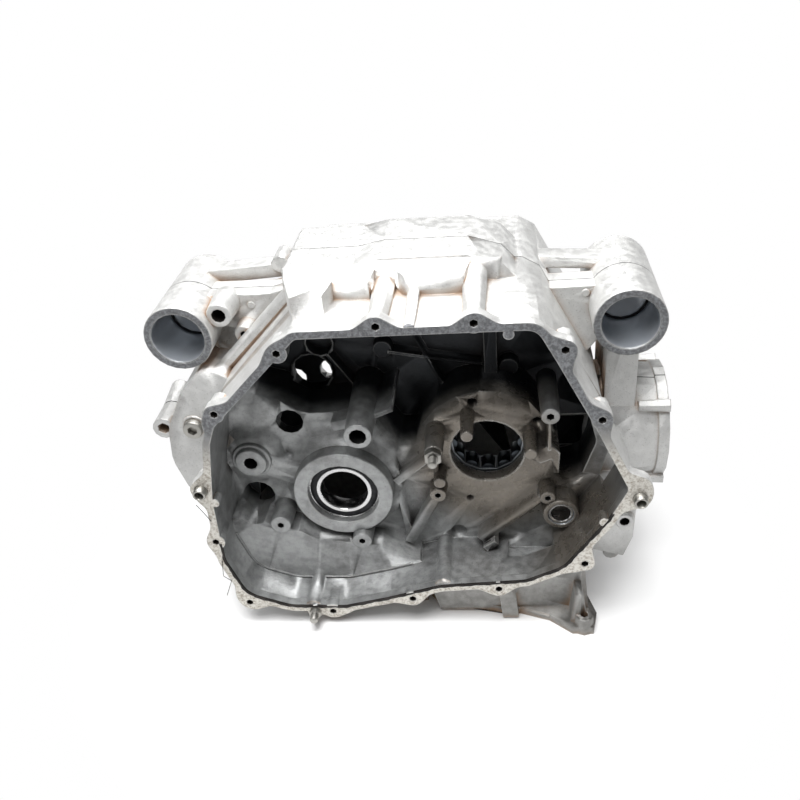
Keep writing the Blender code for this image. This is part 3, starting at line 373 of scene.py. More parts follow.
def ramp(tree, value, low, high, start=0.0, end=1.0):
    """Value mapped from one span to another, smoothly and clamped."""
    node = tree.nodes.new("ShaderNodeMapRange")
    node.interpolation_type = "SMOOTHSTEP"
    link(tree, value, node.inputs["Value"])
    node.inputs["From Min"].default_value = low
    node.inputs["From Max"].default_value = high
    node.inputs["To Min"].default_value = start
    node.inputs["To Max"].default_value = end
    return node.outputs["Result"]


def mixed(tree, factor, first, second):
    """Two colours mixed by a factor's socket; each may be a socket or a colour."""
    node = tree.nodes.new("ShaderNodeMix")
    node.data_type = "RGBA"
    inputs = {socket.identifier: socket for socket in node.inputs}
    outputs = {socket.identifier: socket for socket in node.outputs}
    link(tree, factor, inputs["Factor_Float"])
    for name, value in (("A_Color", first), ("B_Color", second)):
        if isinstance(value, bpy.types.NodeSocket):
            link(tree, value, inputs[name])
        else:
            inputs[name].default_value = (*value, 1)
    return outputs["Result_Color"]


def noise(tree, place, scale, detail=3.0, roughness=0.55, distortion=0.0):
    """Noise on the piece's own coordinates."""
    node = tree.nodes.new("ShaderNodeTexNoise")
    link(tree, place, node.inputs["Vector"])
    node.inputs["Scale"].default_value = scale
    node.inputs["Detail"].default_value = detail
    node.inputs["Roughness"].default_value = roughness
    node.inputs["Distortion"].default_value = distortion
    return node.outputs["Fac"]


def new_group(name, inputs, outputs):
    """Empty shader node group with named sockets."""
    group = bpy.data.node_groups.new(name, "ShaderNodeTree")
    for socket, kind, default in inputs:
        made = group.interface.new_socket(socket, in_out="INPUT", socket_type=kind)
        if default is not None:
            made.default_value = default
    for socket, kind in outputs:
        group.interface.new_socket(socket, in_out="OUTPUT", socket_type=kind)
    return group, group.nodes.new("NodeGroupInput"), group.nodes.new("NodeGroupOutput")


def grain_group():
    """Sand cast grain: height for a bump and a faint change of tone."""
    group, inlet, outlet = new_group(
        "sand cast grain",
        [("Vector", "NodeSocketVector", None), ("Size", "NodeSocketFloat", 0.001)],
        [("Height", "NodeSocketFloat"), ("Tone", "NodeSocketFloat")])
    place, size = inlet.outputs["Vector"], inlet.outputs["Size"]
    fine = math_node(group, "DIVIDE", 1.0, size)
    coarse = math_node(group, "MULTIPLY", fine, 0.16)
    grain = group.nodes.new("ShaderNodeTexNoise")
    lumps = group.nodes.new("ShaderNodeTexNoise")
    pits = group.nodes.new("ShaderNodeTexVoronoi")
    for node, scale in ((grain, fine), (lumps, coarse), (pits, fine)):
        link(group, place, node.inputs["Vector"])
        link(group, scale, node.inputs["Scale"])
    grain.inputs["Detail"].default_value = 4
    lumps.inputs["Detail"].default_value = 3
    pit = ramp(group, pits.outputs["Distance"], 0.0, 0.35)
    height = math_node(group, "ADD", math_node(group, "MULTIPLY", grain.outputs["Fac"], 0.5),
                       math_node(group, "MULTIPLY", lumps.outputs["Fac"], 0.9))
    height = math_node(group, "ADD", height, math_node(group, "MULTIPLY", pit, 0.25))
    link(group, height, outlet.inputs["Height"])
    link(group, ramp(group, lumps.outputs["Fac"], 0.3, 0.7), outlet.inputs["Tone"])
    return group


def grime_and_shade_group():
    """Dirt that lies in corners and blotches of stain, with painted shade in the deepest corners and a
    painted highlight on worn edges.
    """
    group, inlet, outlet = new_group(
        "corner grime and painted shade",
        [("Vector", "NodeSocketVector", None), ("Reach", "NodeSocketFloat", 0.008),
         ("Blotch", "NodeSocketFloat", 18.0)],
        [("Corner", "NodeSocketFloat"), ("Blotches", "NodeSocketFloat"), ("Depth", "NodeSocketFloat"),
         ("Worn edge and highlight", "NodeSocketFloat")])
    corner = group.nodes.new("ShaderNodeAmbientOcclusion")
    corner.samples = 6
    link(group, inlet.outputs["Reach"], corner.inputs["Distance"])
    wander = group.nodes.new("ShaderNodeTexNoise")
    link(group, inlet.outputs["Vector"], wander.inputs["Vector"])
    link(group, inlet.outputs["Blotch"], wander.inputs["Scale"])
    wander.inputs["Detail"].default_value = 6
    wander.inputs["Roughness"].default_value = 0.65
    shade = math_node(group, "SUBTRACT", 1.0, corner.outputs["AO"])
    broken = math_node(group, "MULTIPLY", shade, math_node(group, "ADD", wander.outputs["Fac"], 0.5))
    link(group, ramp(group, broken, 0.25, 0.75), outlet.inputs["Corner"])
    link(group, ramp(group, wander.outputs["Fac"], 0.45, 0.68), outlet.inputs["Blotches"])
    # Painted shade: where the corner is deepest
    link(group, ramp(group, shade, 0.80, 0.97), outlet.inputs["Depth"])
    # Worn edges: partly real wear, partly a painted highlight along convex edges
    edge = group.nodes.new("ShaderNodeAmbientOcclusion")
    edge.samples = 6
    edge.inside = True
    edge.only_local = True
    edge.inputs["Distance"].default_value = 0.0018
    worn_edge_highlight = math_node(group, "SUBTRACT", math_node(group, "ADD", wander.outputs["Fac"], 0.5),
                       edge.outputs["AO"])
    link(group, ramp(group, worn_edge_highlight, 0.25, 0.6), outlet.inputs["Worn edge and highlight"])
    return group


def placed_group(tree, group, place, **values):
    """Put a node group in a tree, fed with the coordinates and its values."""
    node = tree.nodes.new("ShaderNodeGroup")
    node.node_tree = group
    link(tree, place, node.inputs["Vector"])
    for name, value in values.items():
        node.inputs[name].default_value = value
    return node


def new_material(name):
    """Material with its shader and the piece's own coordinates."""
    made = bpy.data.materials.new(name)
    made.use_nodes = True
    tree = made.node_tree
    place = tree.nodes.new("ShaderNodeTexCoord").outputs["Object"]
    return made, tree, tree.nodes["Principled BSDF"], place


def bumped(tree, shader, height, strength, distance, rounding=0.0):
    """Feed a height to the shader's normal, over edges that look rounded."""
    bump = tree.nodes.new("ShaderNodeBump")
    bump.inputs["Strength"].default_value = strength
    bump.inputs["Distance"].default_value = distance
    link(tree, height, bump.inputs["Height"])
    if rounding > 0:
        edge = tree.nodes.new("ShaderNodeBevel")
        edge.samples = 6
        edge.inputs["Radius"].default_value = rounding
        link(tree, edge.outputs["Normal"], bump.inputs["Normal"])
    link(tree, bump.outputs["Normal"], shader.inputs["Normal"])


def attribute(tree, name):
    """A value that the mesh carries on its faces."""
    node = tree.nodes.new("ShaderNodeAttribute")
    node.attribute_name = name
    return node.outputs["Fac"]


def near(tree, place, centre, low, high):
    """Mask that is one within a distance of a point and fades out beyond it."""
    node = tree.nodes.new("ShaderNodeVectorMath")
    node.operation = "DISTANCE"
    link(tree, place, node.inputs[0])
    node.inputs[1].default_value = centre
    return ramp(tree, node.outputs["Value"], low, high, 1.0, 0.0)


def cast_material(name, settings, groups):
    """Sand cast alloy: pale outside, oil dark inside, machined on its faced surfaces."""
    made, tree, shader, place = new_material(name)
    grain = placed_group(tree, groups["grain"], place, Size=settings.grain)
    grime = placed_group(tree, groups["grime"], place, Reach=0.012, Blotch=24.0)
    inside, machined, bored, hole = (
        attribute(tree, mask) for mask in ("inside", "machined", "bored", "hole"))
    split = tree.nodes.new("ShaderNodeSeparateXYZ")
    link(tree, place, split.inputs["Vector"])
    depth, height = split.outputs["Y"], split.outputs["Z"]
    tone = mixed(tree, grain.outputs["Tone"], [c * 0.92 for c in settings.cast_colour],
                 [min(c * 1.06, 1) for c in settings.cast_colour])
    dark = mixed(tree, grain.outputs["Tone"], [c * 0.82 for c in settings.inside_colour],
                 [c * 1.14 for c in settings.inside_colour])
    films = [near(tree, place, at(*centre), low, high) for centre, low, high in OIL_FILMS]
    oily = math_node(tree, "MULTIPLY", math_node(tree, "MAXIMUM", *films), 0.75)
    dark = mixed(tree, oily, dark, settings.oil_colour)
    # Darker grey towards the floor: partly dirt, partly painted shade low on the outside
    low_dirt_and_shade = mixed(tree, grain.outputs["Tone"], (0.16, 0.155, 0.145), (0.27, 0.265, 0.25))
    tone = mixed(tree, ramp(tree, height, 0.012, 0.085, 0.85, 0.0), tone, low_dirt_and_shade)
    colour = mixed(tree, inside, tone, dark)
    speckle = ramp(tree, noise(tree, place, 900, 2), 0.60, 0.72)
    colour = mixed(tree, math_node(tree, "MULTIPLY", speckle, 0.4), colour, (0.10, 0.09, 0.08))
    blotches = math_node(tree, "MULTIPLY", grime.outputs["Blotches"],
                         ramp(tree, inside, 0.0, 1.0, 0.06, 0.35))
    colour = mixed(tree, blotches, colour, settings.stain_colour)
    # Painted shade: the cavity darkens to near black the further back it lies
    deep_shade = math_node(tree, "MULTIPLY", inside, ramp(tree, depth, BLACK_FROM, BLACK_TO, 0.0, 0.93))
    colour = mixed(tree, deep_shade, colour, (0.012, 0.014, 0.018))
    rust = mixed(tree, inside, settings.rust_colour, settings.stain_colour)
    corner = math_node(tree, "MULTIPLY", grime.outputs["Corner"], 0.8)
    colour = mixed(tree, corner, colour, rust)
    # Painted shade: the deepest corners and holes go near black
    colour = mixed(tree, grime.outputs["Depth"], colour, (0.010, 0.010, 0.011))
    wear = noise(tree, place, 420, 4, 0.7)
    # Faced surfaces: their own grey plus painted shade on faces that look forward
    faced = mixed(tree, ramp(tree, wear, 0.38, 0.66), [c * 0.6 for c in settings.machined_colour],
                  [c * 1.5 for c in settings.machined_colour])
    washed = mixed(tree, ramp(tree, wear, 0.40, 0.70), settings.washed_colour, (0.30, 0.26, 0.21))
    faced = mixed(tree, ramp(tree, height, WASHED_TO, WASHED_FROM), washed, faced)
    colour = mixed(tree, math_node(tree, "MULTIPLY", machined, 0.92), colour, faced)
    colour = mixed(tree, math_node(tree, "MULTIPLY", bored, 0.92), colour, settings.bored_colour)
    # Pale edges: partly real wear, partly a painted highlight
    worn_edge_highlight = math_node(tree, "MULTIPLY", grime.outputs["Worn edge and highlight"], 0.65)
    colour = mixed(tree, worn_edge_highlight, colour, (0.62, 0.62, 0.60))
    # Painted shade: the walls of small holes are made near black
    colour = mixed(tree, math_node(tree, "MULTIPLY", hole, 0.95), colour, (0.008, 0.008, 0.008))
    joint = math_node(tree, "COMPARE", depth, (PARTING_DEPTH - DRAWING_DEPTH) * MM)
    joint.node.inputs[2].default_value = 0.0005
    joint = math_node(tree, "MULTIPLY", joint, math_node(tree, "SUBTRACT", 1.0, inside))
    colour = mixed(tree, joint, colour, (0.03, 0.03, 0.03))
    link(tree, colour, shader.inputs["Base Color"])
    shader.inputs["Metallic"].default_value = 0.65
    rough = math_node(tree, "ADD", ramp(tree, grain.outputs["Tone"], 0, 1, 0.44, 0.56),
                      math_node(tree, "MULTIPLY", corner, 0.25))
    rough = math_node(tree, "SUBTRACT", rough, math_node(tree, "MULTIPLY", bored, 0.12))
    rough = math_node(tree, "SUBTRACT", rough, math_node(tree, "MULTIPLY", oily, 0.18))
    rough = math_node(tree, "SUBTRACT", rough, math_node(tree, "MULTIPLY", inside, 0.06), clamp=True)
    link(tree, rough, shader.inputs["Roughness"])
    smooth = math_node(tree, "MAXIMUM", machined, bored)
    flat = math_node(tree, "SUBTRACT", 1.0, math_node(tree, "MULTIPLY", smooth, 0.8))
    relief = math_node(tree, "MULTIPLY", grain.outputs["Height"], flat)
    bumped(tree, shader, relief, 0.6, 0.0007, settings.edge_round)
    return made


def steel_material(name, colour, roughness, scratch=0.25, grime=0.3, groups=None):
    """Ground steel with fine scratches and a little oil."""
    made, tree, shader, place = new_material(name)
    streaks = noise(tree, place, 900, 2)
    film = noise(tree, place, 70, 4)
    base = mixed(tree, ramp(tree, film, 0.35, 0.7), [c * 0.75 for c in colour], colour)
    if groups:
        dirt = placed_group(tree, groups["grime"], place, Reach=0.004, Blotch=90.0)
        base = mixed(tree, math_node(tree, "MULTIPLY", dirt.outputs["Corner"], grime), base,
                     (0.03, 0.025, 0.02))
    link(tree, base, shader.inputs["Base Color"])
    shader.inputs["Metallic"].default_value = 1.0
    rough = ramp(tree, film, 0.3, 0.75, roughness * 0.8, roughness * 1.5)
    link(tree, rough, shader.inputs["Roughness"])
    bumped(tree, shader, streaks, scratch, 0.00004)
    return made


def black_material(name, colour, roughness):
    """Moulded or baked black with a fine grain."""
    made, tree, shader, place = new_material(name)
    grain = noise(tree, place, 600, 3)
    film = noise(tree, place, 90, 4)
    base = mixed(tree, ramp(tree, film, 0.4, 0.7), colour, [min(c * 2.2 + 0.01, 1) for c in colour])
    link(tree, base, shader.inputs["Base Color"])
    link(tree, ramp(tree, film, 0.3, 0.7, roughness * 0.8, roughness * 1.2), shader.inputs["Roughness"])
    shader.inputs["Specular IOR Level"].default_value = 0.2
    bumped(tree, shader, grain, 0.3, 0.0001)
    return made


def finishes():
    """Every material, made once and found again by name."""
    found = {m.name: m for m in bpy.data.materials}
    if "cast alloy" in found:
        return found
    settings = bpy.context.scene.crankcase_finish
    groups = {"grain": grain_group(), "grime": grime_and_shade_group()}
    made = [
        cast_material("cast alloy", settings, groups),
        steel_material("bearing steel", (0.62, 0.62, 0.62), 0.22, groups=groups),
        steel_material("dull steel", (0.46, 0.45, 0.42), 0.38, 0.4, 0.7, groups),
        steel_material("cage steel", (0.34, 0.36, 0.38), 0.35, 0.3, 0.6, groups),
        # The rollers' steel is made nearly black as painted shade deep in the crank bore
        steel_material("roller steel", (0.07, 0.08, 0.09), 0.28, 0.3, 0.6, groups),
        black_material("black cage", (0.012, 0.012, 0.014), 0.45),
        black_material("gasket black", (0.015, 0.013, 0.012), 0.7),
    ]
    return {m.name: m for m in made}


def smooth_outline(corners, spacing=1.6):
    """Closed outline with rounded corners, in points an even distance apart."""
    dense = []
    for index, (x, z, radius) in enumerate(corners):
        corner = Vector((x, z))
        before = Vector(corners[index - 1][:2]) - corner
        after = Vector(corners[(index + 1) % len(corners)][:2]) - corner
        reach = min(radius / math.tan(before.angle(after) / 2), before.length * 0.45, after.length * 0.45)
        start, end = corner + before.normalized() * reach, corner + after.normalized() * reach
        for step in range(17):
            t = step / 16
            dense.append(start * (1 - t) ** 2 + corner * 2 * t * (1 - t) + end * t * t)
    points = []
    left = 0.0
    for start, end in zip(dense, dense[1:] + dense[:1]):
        length = (end - start).length
        while left < length:
            points.append(start.lerp(end, left / length))
            left += spacing
        left -= length
    return points


def outward(points, index):
    """Unit normal of a clockwise outline at one of its points."""
    along = points[(index + 1) % len(points)] - points[index - 1]
    return Vector((-along.y, along.x)).normalized()


def bell(points, centre, radius):
    """How far a boss pushes the rim outwards at each point of its inner edge."""
    middle = Vector(centre)
    nearest = min(range(len(points)), key=lambda i: (points[i] - middle).length)
    height = (middle - points[nearest]).dot(outward(points, nearest)) + radius - RIM_WALL
    width = radius * 2.5
    spread = [min((point - points[nearest]).length / width, 1) for point in points]
    return [max(height, 0) / 2 * (1 + math.cos(math.pi * part)) for part in spread]


def flat_outline(name, outlines, depth0, depth1):
    """Solid between two depths over closed outlines in x and z, the inner ones being holes."""
    deselect()
    bpy.ops.curve.primitive_bezier_circle_add(location=(0, 0, 0))
    guide = bpy.context.object
    guide.name = name
    curve = guide.data
    curve.dimensions = "2D"
    curve.fill_mode = "BOTH"
    curve.extrude = (depth1 - depth0) * MM / 2
    curve.splines.clear()
    for outline in outlines:
        spline = curve.splines.new("POLY")
        spline.points.add(len(outline) - 1)
        for point, place in zip(spline.points, outline):
            point.co = ((place[0] + DRAWING_X) * MM, place[1] * MM, 0, 1)
        spline.use_cyclic_u = True
    guide.rotation_euler = (math.radians(90), 0, 0)
    guide.location = (0, ((depth0 + depth1) / 2 - DRAWING_DEPTH) * MM, 0)
    bpy.ops.object.convert(target="MESH")
    piece = bpy.context.object
    bpy.ops.object.transform_apply(location=True, rotation=True, scale=True)
    bpy.ops.object.mode_set(mode="EDIT")
    bpy.ops.mesh.select_all(action="SELECT")
    bpy.ops.mesh.remove_doubles(threshold=MERGE_DISTANCE)
    bpy.ops.mesh.normals_make_consistent(inside=False)
    bpy.ops.object.mode_set(mode="OBJECT")
    return piece


def inside_outline(x, z, outline):
    """True if a point of the drawing lies within a closed outline."""
    within = False
    for (x0, z0, *_), (x1, z1, *_) in zip(outline, outline[1:] + outline[:1]):
        if (z0 > z) != (z1 > z) and x < x0 + (z - z0) * (x1 - x0) / (z1 - z0):
            within = not within
    return within


def mark_faces(piece):
    """Write on each face whether it is inside the cavity, machined, bored, or lines a small hole."""
    mesh = piece.data
    masks = {"inside": [], "machined": [], "bored": [], "hole": []}
    for face in mesh.polygons:
        middle = face.center + face.normal * ROOM_STEP
        x, z = middle.x / MM - DRAWING_X, middle.z / MM
        depth = middle.y / MM + DRAWING_DEPTH
        flat = face.center.y / MM + DRAWING_DEPTH
        facing = abs(face.normal.y)
        behind = depth > REAR_RECESS or depth > MOUTH_DEPTH and z < MOUTH_TOP
        within = 0.3 < depth and inside_outline(x, z, CAVITY) and not behind
        in_room = any(x0 < x < x1 and depth0 < depth < depth1 and z0 < z < z1
                      for x0, x1, depth0, depth1, z0, z1 in SIDE_ROOMS)
        faced = facing > 0.999 and any(abs(flat - level) < FACED_REACH for level in FACED_DEPTHS)
        masks["inside"].append(float(within or in_room))
        masks["machined"].append(float(faced))
        masks["bored"].append(float(facing < 0.1 and lines_bore(mesh, face, BORES)))
        masks["hole"].append(float(facing < 0.1 and lines_bore(mesh, face, HOLES)))
    for name, values in masks.items():
        mesh.attributes.new(name, "FLOAT", "FACE").data.foreach_set("value", values)


def lines_bore(mesh, face, bores):
    """True if a face lines one of the bores, given as x, z and radius."""
    corners = [mesh.vertices[index].co for index in face.vertices]
    for x, z, radius in bores:
        axis = Vector(((x + DRAWING_X) * MM, 0, z * MM))
        inward = face.normal.dot(face.center - axis) - face.normal.y * face.center.y < 0
        reaches = [math.hypot(corner.x - axis.x, corner.z - axis.z) for corner in corners]
        if inward and all(abs(reach / MM - radius) < BORE_REACH for reach in reaches):
            return True
    return False


def cast_piece(piece, name, nodes=(), angle=35):
    """Mark the faces of a piece of the castings, and finish it."""
    mark_faces(piece)
    finished(piece, name, finishes()["cast alloy"], "case", nodes, angle)


def edge_strip(inner, highest, furthest, outer, width, ragged):
    """Outline of a strip along the lower edge of the cavity, ragged on its outer side."""
    low = [index for index, point in enumerate(inner)
           if point.y < highest + point.x * EDGE_TILT and point.x < furthest]
    jump = max(range(len(low)), key=lambda i: (low[i] - low[i - 1]) % len(inner))
    low = low[jump:] + low[:jump]
    edge, back = [], []
    for step, index in enumerate(low):
        wave = ragged * (0.6 * math.sin(step * 0.53) + 0.4 * math.sin(step * 1.31 + 2))
        edge.append(inner[index] + outward(inner, index) * (outer + wave))
        back.append(inner[index] + outward(inner, index) * (outer - width))
    return edge + back[::-1]


def ring_section(edge, face, lip, shoulder, side):
    """Section of a ball bearing ring: radii from its smooth edge to its shoulder, and its groove's side."""
    groove = []
    for angle in GROOVE_ANGLES:
        turn = math.radians(angle)
        groove.append((BALL_PITCH_R + side * math.cos(turn) * GROOVE_R,
                       BALL_MIDDLE + math.sin(turn) * GROOVE_R))
    front = [(edge, BALL_FRONT + 1), (face, BALL_FRONT), (lip, BALL_FRONT), (shoulder, BALL_FRONT + 0.5)]
    back = [(shoulder, BALL_BACK - 0.5), (lip, BALL_BACK), (face, BALL_BACK), (edge, BALL_BACK - 1)]
    return front + groove + back


def strand(name, path):
    """Thin loose strand through points of x, depth and z."""
    deselect()
    bpy.ops.curve.primitive_nurbs_path_add(location=(0, 0, 0))
    piece = bpy.context.object
    piece.name = name
    curve = piece.data
    curve.bevel_depth = 0.00028
    curve.bevel_resolution = 2
    curve.splines.clear()
    spline = curve.splines.new("POLY")
    spline.points.add(len(path) - 1)
    for point, place in zip(spline.points, path):
        point.co = (*at(*place), 1)
    bpy.ops.object.convert(target="MESH")
    return bpy.context.object


class CRANKCASE_OT_castings(Operator):
    """Merge and shade the two cast halves, and mark their machined and oily faces"""
    bl_idname = "crankcase.castings"
    bl_label = "Castings"

    def execute(self, context):
        for node in ("front_case", "rear_case"):
            piece = copied(node)
            cast_piece(piece, node + "_cast", (node,), 27)
            modifier = piece.modifiers.new("even shading", "WEIGHTED_NORMAL")
            modifier.keep_sharp = True
            apply_modifier(piece, modifier)
        return {"FINISHED"}


class CRANKCASE_OT_rims(Operator):
    """Lay the smooth machined rims over the cover face, the mount tubes and the bearing bosses"""
    bl_idname = "crankcase.rims"
    bl_label = "Machined rims"

    def execute(self, context):
        sides = context.scene.crankcase_bearings.ring_sides
        inner = smooth_outline(CAVITY)
        bosses = [(centre, SCREW_BOSS_R) for centre in COVER_SCREWS]
        bosses += [(centre, DOWEL_BOSS_R) for centre in DOWELS.values()]
        bosses += [(centre, LUG_R) for centre in LUGS]
        pushes = [max(lobes) for lobes in zip(*(bell(inner, *boss) for boss in bosses))]
        outside, within = [], []
        for index, (point, push) in enumerate(zip(inner, pushes)):
            outside.append(point + outward(inner, index) * (RIM_WALL + 0.12 + push))
            within.append(point - outward(inner, index) * 0.7)
        rim = flat_outline("cover_rim", [outside, within], -PROUD, RIM_DEPTH)
        holes = {place: SCREW_HOLE_R for place in COVER_SCREWS}
        holes.update((place, DOWEL_HOLE_R) for place in DOWELS.values())
        # The rim has wider holes than its bosses, so that no two walls lie on each other
        gaps = [(place, radius + 1) for place, radius in holes.items()] + [(STUD_AXIS, STUD_HOLE_R)]
        carved(rim, joined([turned(x, z, [(r, -3), (r, 12)], 32, False) for (x, z), r in gaps]))
        discs = []
        for place, radius in bosses:
            rows = [(radius + 0.05, -PROUD), (radius + 0.05, RIM_DEPTH)]
            if place in holes:
                rows += [(holes[place], RIM_DEPTH), (holes[place], -PROUD)]
            discs.append(turned(*place, rows, 48, place in holes))
        carved(rim, joined(discs), "UNION")
        bevelled(rim, 0.35, 50)
        cast_piece(rim, "cover_rim", angle=40)
        gasket = edge_strip(inner, GASKET_TOP, math.inf, 0.75, 1.9, 0.55)
        strips = [flat_outline("gasket_strip", [gasket], -0.4, 1.5)]
        strips += [strand("gasket_strand", path) for path in STRANDS]
        for strip in strips:
            strip.data.materials.append(finishes()["gasket black"])
        joined([rim, *strips])
        edge = edge_strip(inner, BEAD_TOP, BEAD_END, 0.4, 2.6, 0)
        bead = flat_outline("sump_bead", [edge], *BEAD_DEPTHS)
        bevelled(bead, 0.6)
        cast_piece(bead, "sump_bead", angle=50)
        rows = [(27.9, 65.4), (28.65, 66.1), (28.65, 171.6), (28.2, 172.1), (20.6, 172.1), (20.0, 171.5),
                (20.0, 116.5), (22.25, 114.8), (22.25, 66.7), (23.4, 65.4)]
        places = [at(-TUBE_X, 0, TUBE_Z), at(TUBE_X, 0, TUBE_Z)]
        sleeves = copies(turned(-TUBE_X, TUBE_Z, rows, sides), places)
        for sleeve, name in zip(sleeves, ("left_tube_sleeve", "right_tube_sleeve")):
            cast_piece(sleeve, name)
        for name, (x, z), rows in (
                ("ball_bearing_boss", BALL_AXIS,
                 [(43.2, 39.9), (43.9, 40.6), (45.3, 58), (31.0, 58), (31.3, 40.5), (31.9, 39.9)]),
                ("bush_boss", BUSH_AXIS,
                 [(14.6, 39.9), (15.2, 40.5), (16.2, 60), (11.2, 60), (11.2, 40.4), (11.7, 39.9)]),
                ("crank_bore_lip", CRANK_AXIS,
                 [(32.6, 60.9), (31.3, 62.2), (31.3, 73.3), (33, 73.3), (33, 61.0)])):
            cast_piece(turned(x, z, rows, sides), name)
        for index, (x, z, radius, tip, root, growth, bore) in enumerate(BOSSES):
            end = radius + growth
            rows = [(radius - 0.4, tip - PROUD), (radius + 0.2, tip + 0.4), (end + 0.3, root)]
            if bore:
                rows += [(bore - 0.05, root), (bore - 0.05, tip + 0.3), (bore + 0.4, tip - PROUD)]
            cast_piece(turned(x, z, rows, 48, bool(bore)), f"boss_{index + 1:02d}")
        return {"FINISHED"}


class CRANKCASE_OT_ball_bearing(Operator):
    """Turn the ball bearing's rings, and make its cage and balls"""
    bl_idname = "crankcase.ball_bearing"
    bl_label = "Ball bearing"

    def execute(self, context):
        sides = context.scene.crankcase_bearings.ring_sides
        steel, black = finishes()["bearing steel"], finishes()["black cage"]
        x, z = BALL_AXIS
        outer = turned(x, z, ring_section(34, 33.2, 30.3, 29.8, 1), sides)
        replacing(outer, "ball_bearing_outer_ring", steel, "case")
        inner = turned(x, z, ring_section(20.6, 21.3, 24.2, 24.6, -1), sides)
        replacing(inner, "ball_bearing_inner_ring", steel, "bearing_inner")
        # Black ring across the gap between the rings, in front of the balls
        black_gap_ring = turned(x, z, [(24.9, 47.2), (29.5, 47.2), (29.5, 48.4), (24.9, 48.4)], sides)
        cage = joined([copied("ball_bearing_cage"), black_gap_ring])
        bevelled(cage, 0.3)
        replacing(cage, "ball_bearing_cage", black, "ball_cage")
        places = around(BALL_AXIS, BALL_PITCH_R, BALL_MIDDLE, BALL_COUNT, 0)
        deselect()
        bpy.ops.mesh.primitive_uv_sphere_add(
            segments=32, ring_count=16, radius=BALL_R * MM, location=places[0])
        for index, ball in enumerate(copies(bpy.context.object, places)):
            replacing(ball, f"bearing_ball_{index + 1:02d}", steel, "ball_cage", 60)
        return {"FINISHED"}


class CRANKCASE_OT_roller_bearing(Operator):
    """Turn the crank bearing's outer ring, and make its cage and crowned rollers"""
    bl_idname = "crankcase.roller_bearing"
    bl_label = "Roller bearing"

    def execute(self, context):
        sides = context.scene.crankcase_bearings.ring_sides
        pin_sides = context.scene.crankcase_bearings.pin_sides
        steel, dark = finishes()["bearing steel"], finishes()["roller steel"]
        x, z = CRANK_AXIS
        front, back = ROLLER_RING_FRONT, ROLLER_RING_BACK
        ring = [(45, front + 1), (44, front), (36.7, front), (36.2, front + 0.5), (36.2, 77.4), (36.7, 77.7),
                (39.2, 77.7), (39.2, back - 0.5), (39.7, back), (44, back), (45, back - 1)]
        replacing(turned(x, z, ring, sides), "roller_bearing_outer_ring", steel, "case")
        cage = copied("roller_bearing_cage")
        bevelled(cage, 0.4)
        replacing(cage, "roller_bearing_cage", finishes()["cage steel"], "roller_cage")
        places = around(CRANK_AXIS, ROLLER_PITCH_R, ROLLER_FRONT, ROLLER_COUNT, -math.pi / 2)
        crown = [(ROLLER_R - 1, 0), (ROLLER_R - 0.3, 0.3), (ROLLER_R, 1)]
        rows = [(radius, ROLLER_FRONT + step) for radius, step in crown]
        rows += [(radius, ROLLER_BACK - step) for radius, step in reversed(crown)]
        lowest = turned(x, z - ROLLER_PITCH_R, rows, pin_sides, False)
        for index, roller in enumerate(copies(lowest, places)):
            replacing(roller, f"crank_roller_{index + 1:02d}", dark, "roller_cage")
        return {"FINISHED"}


class CRANKCASE_OT_small_pieces(Operator):
    """Turn the sleeves, stud, plug, adjuster, nut, bush and case bolts"""
    bl_idname = "crankcase.small_pieces"
    bl_label = "Sleeves, studs and bolts"

    def execute(self, context):
        sides = context.scene.crankcase_bearings.pin_sides
        steel, dull = finishes()["bearing steel"], finishes()["dull steel"]
        rows = [(5.6, -6), (5.2, -6.7), (4.8, -7), (3.9, -7), (3.7, -6.7), (3.7, 9), (5.6, 9)]
        sleeve = turned(*DOWELS["right"], rows, sides)
        places = [at(x, 0, z) for x, z in DOWELS.values()]
        for side, sleeve in zip(DOWELS, copies(sleeve, places)):
            replacing(sleeve, f"dowel_sleeve_{side}", dull, "case")
        x, z = STUD_AXIS
        rows = [(2.4, -12), (3.2, -11.6), (3.6, -11), (3.6, -4.6), (4.2, -4), (5.1, -4), (5.4, -3.7),
                (5.4, -0.6), (5.1, -0.3), (2.9, -0.3), (2.9, 12)]
        replacing(turned(x, z, rows, sides, False), "cover_stud", dull, "case")
        x, z = PLUG_AXIS
        rows = [(7.6, 54.7), (8.3, 55.0), (8.7, 55.6), (8.7, 60.3), (8.3, 60.7), (6.0, 60.7), (6.0, 71)]
        plug = turned(x, z, rows, sides, False)
        carved(plug, turned(x, z, [(4.6, 53), (4.6, 59.2)], 6, False))
        replacing(plug, "socket_plug", dull, "case")
        x, z = ADJUSTER_AXIS
        rows = [(2.6, 10), (3.1, 10.3)]
        for turn in range(14):
            rows += [(3.2, 10.8 + turn), (3.85, 11.3 + turn)]
        rows += [(3.85, 40)]
        replacing(turned(x, z, rows, sides, False), "adjuster_stud", dull, "case")
        nut = turned(x, z, [(4.2, 19.3), (4.2, 25.1), (4.6, 25.6), (6.6, 25.7), (7.6, 25.2), (7.6, 19.3),
                            (6.6, 18.75), (4.6, 18.75)], 6)
        replacing(nut, "adjuster_nut", dull, "case", 25)
        x, z = BUSH_AXIS
        rows = [(11.1, 41.8), (10.4, 41), (9.0, 41), (8.4, 41.6), (8.4, 55), (11.1, 55)]
        replacing(turned(x, z, rows, sides), "shaft_bush", steel, "case")
        for index, (x, z, seat) in enumerate(CASE_BOLTS):
            bolt = turned(x, z, [(3.8, 106.2), (3.8, seat + 2)], sides, False)
            head = turned(x, z, [(6.6, seat + 0.3), (6.6, seat + 5.4), (5.9, seat + 6.3)], 6, False)
            carved(bolt, head, "UNION")
            replacing(bolt, f"case_bolt_{index + 1}", dull, "case", 25)
        return {"FINISHED"}


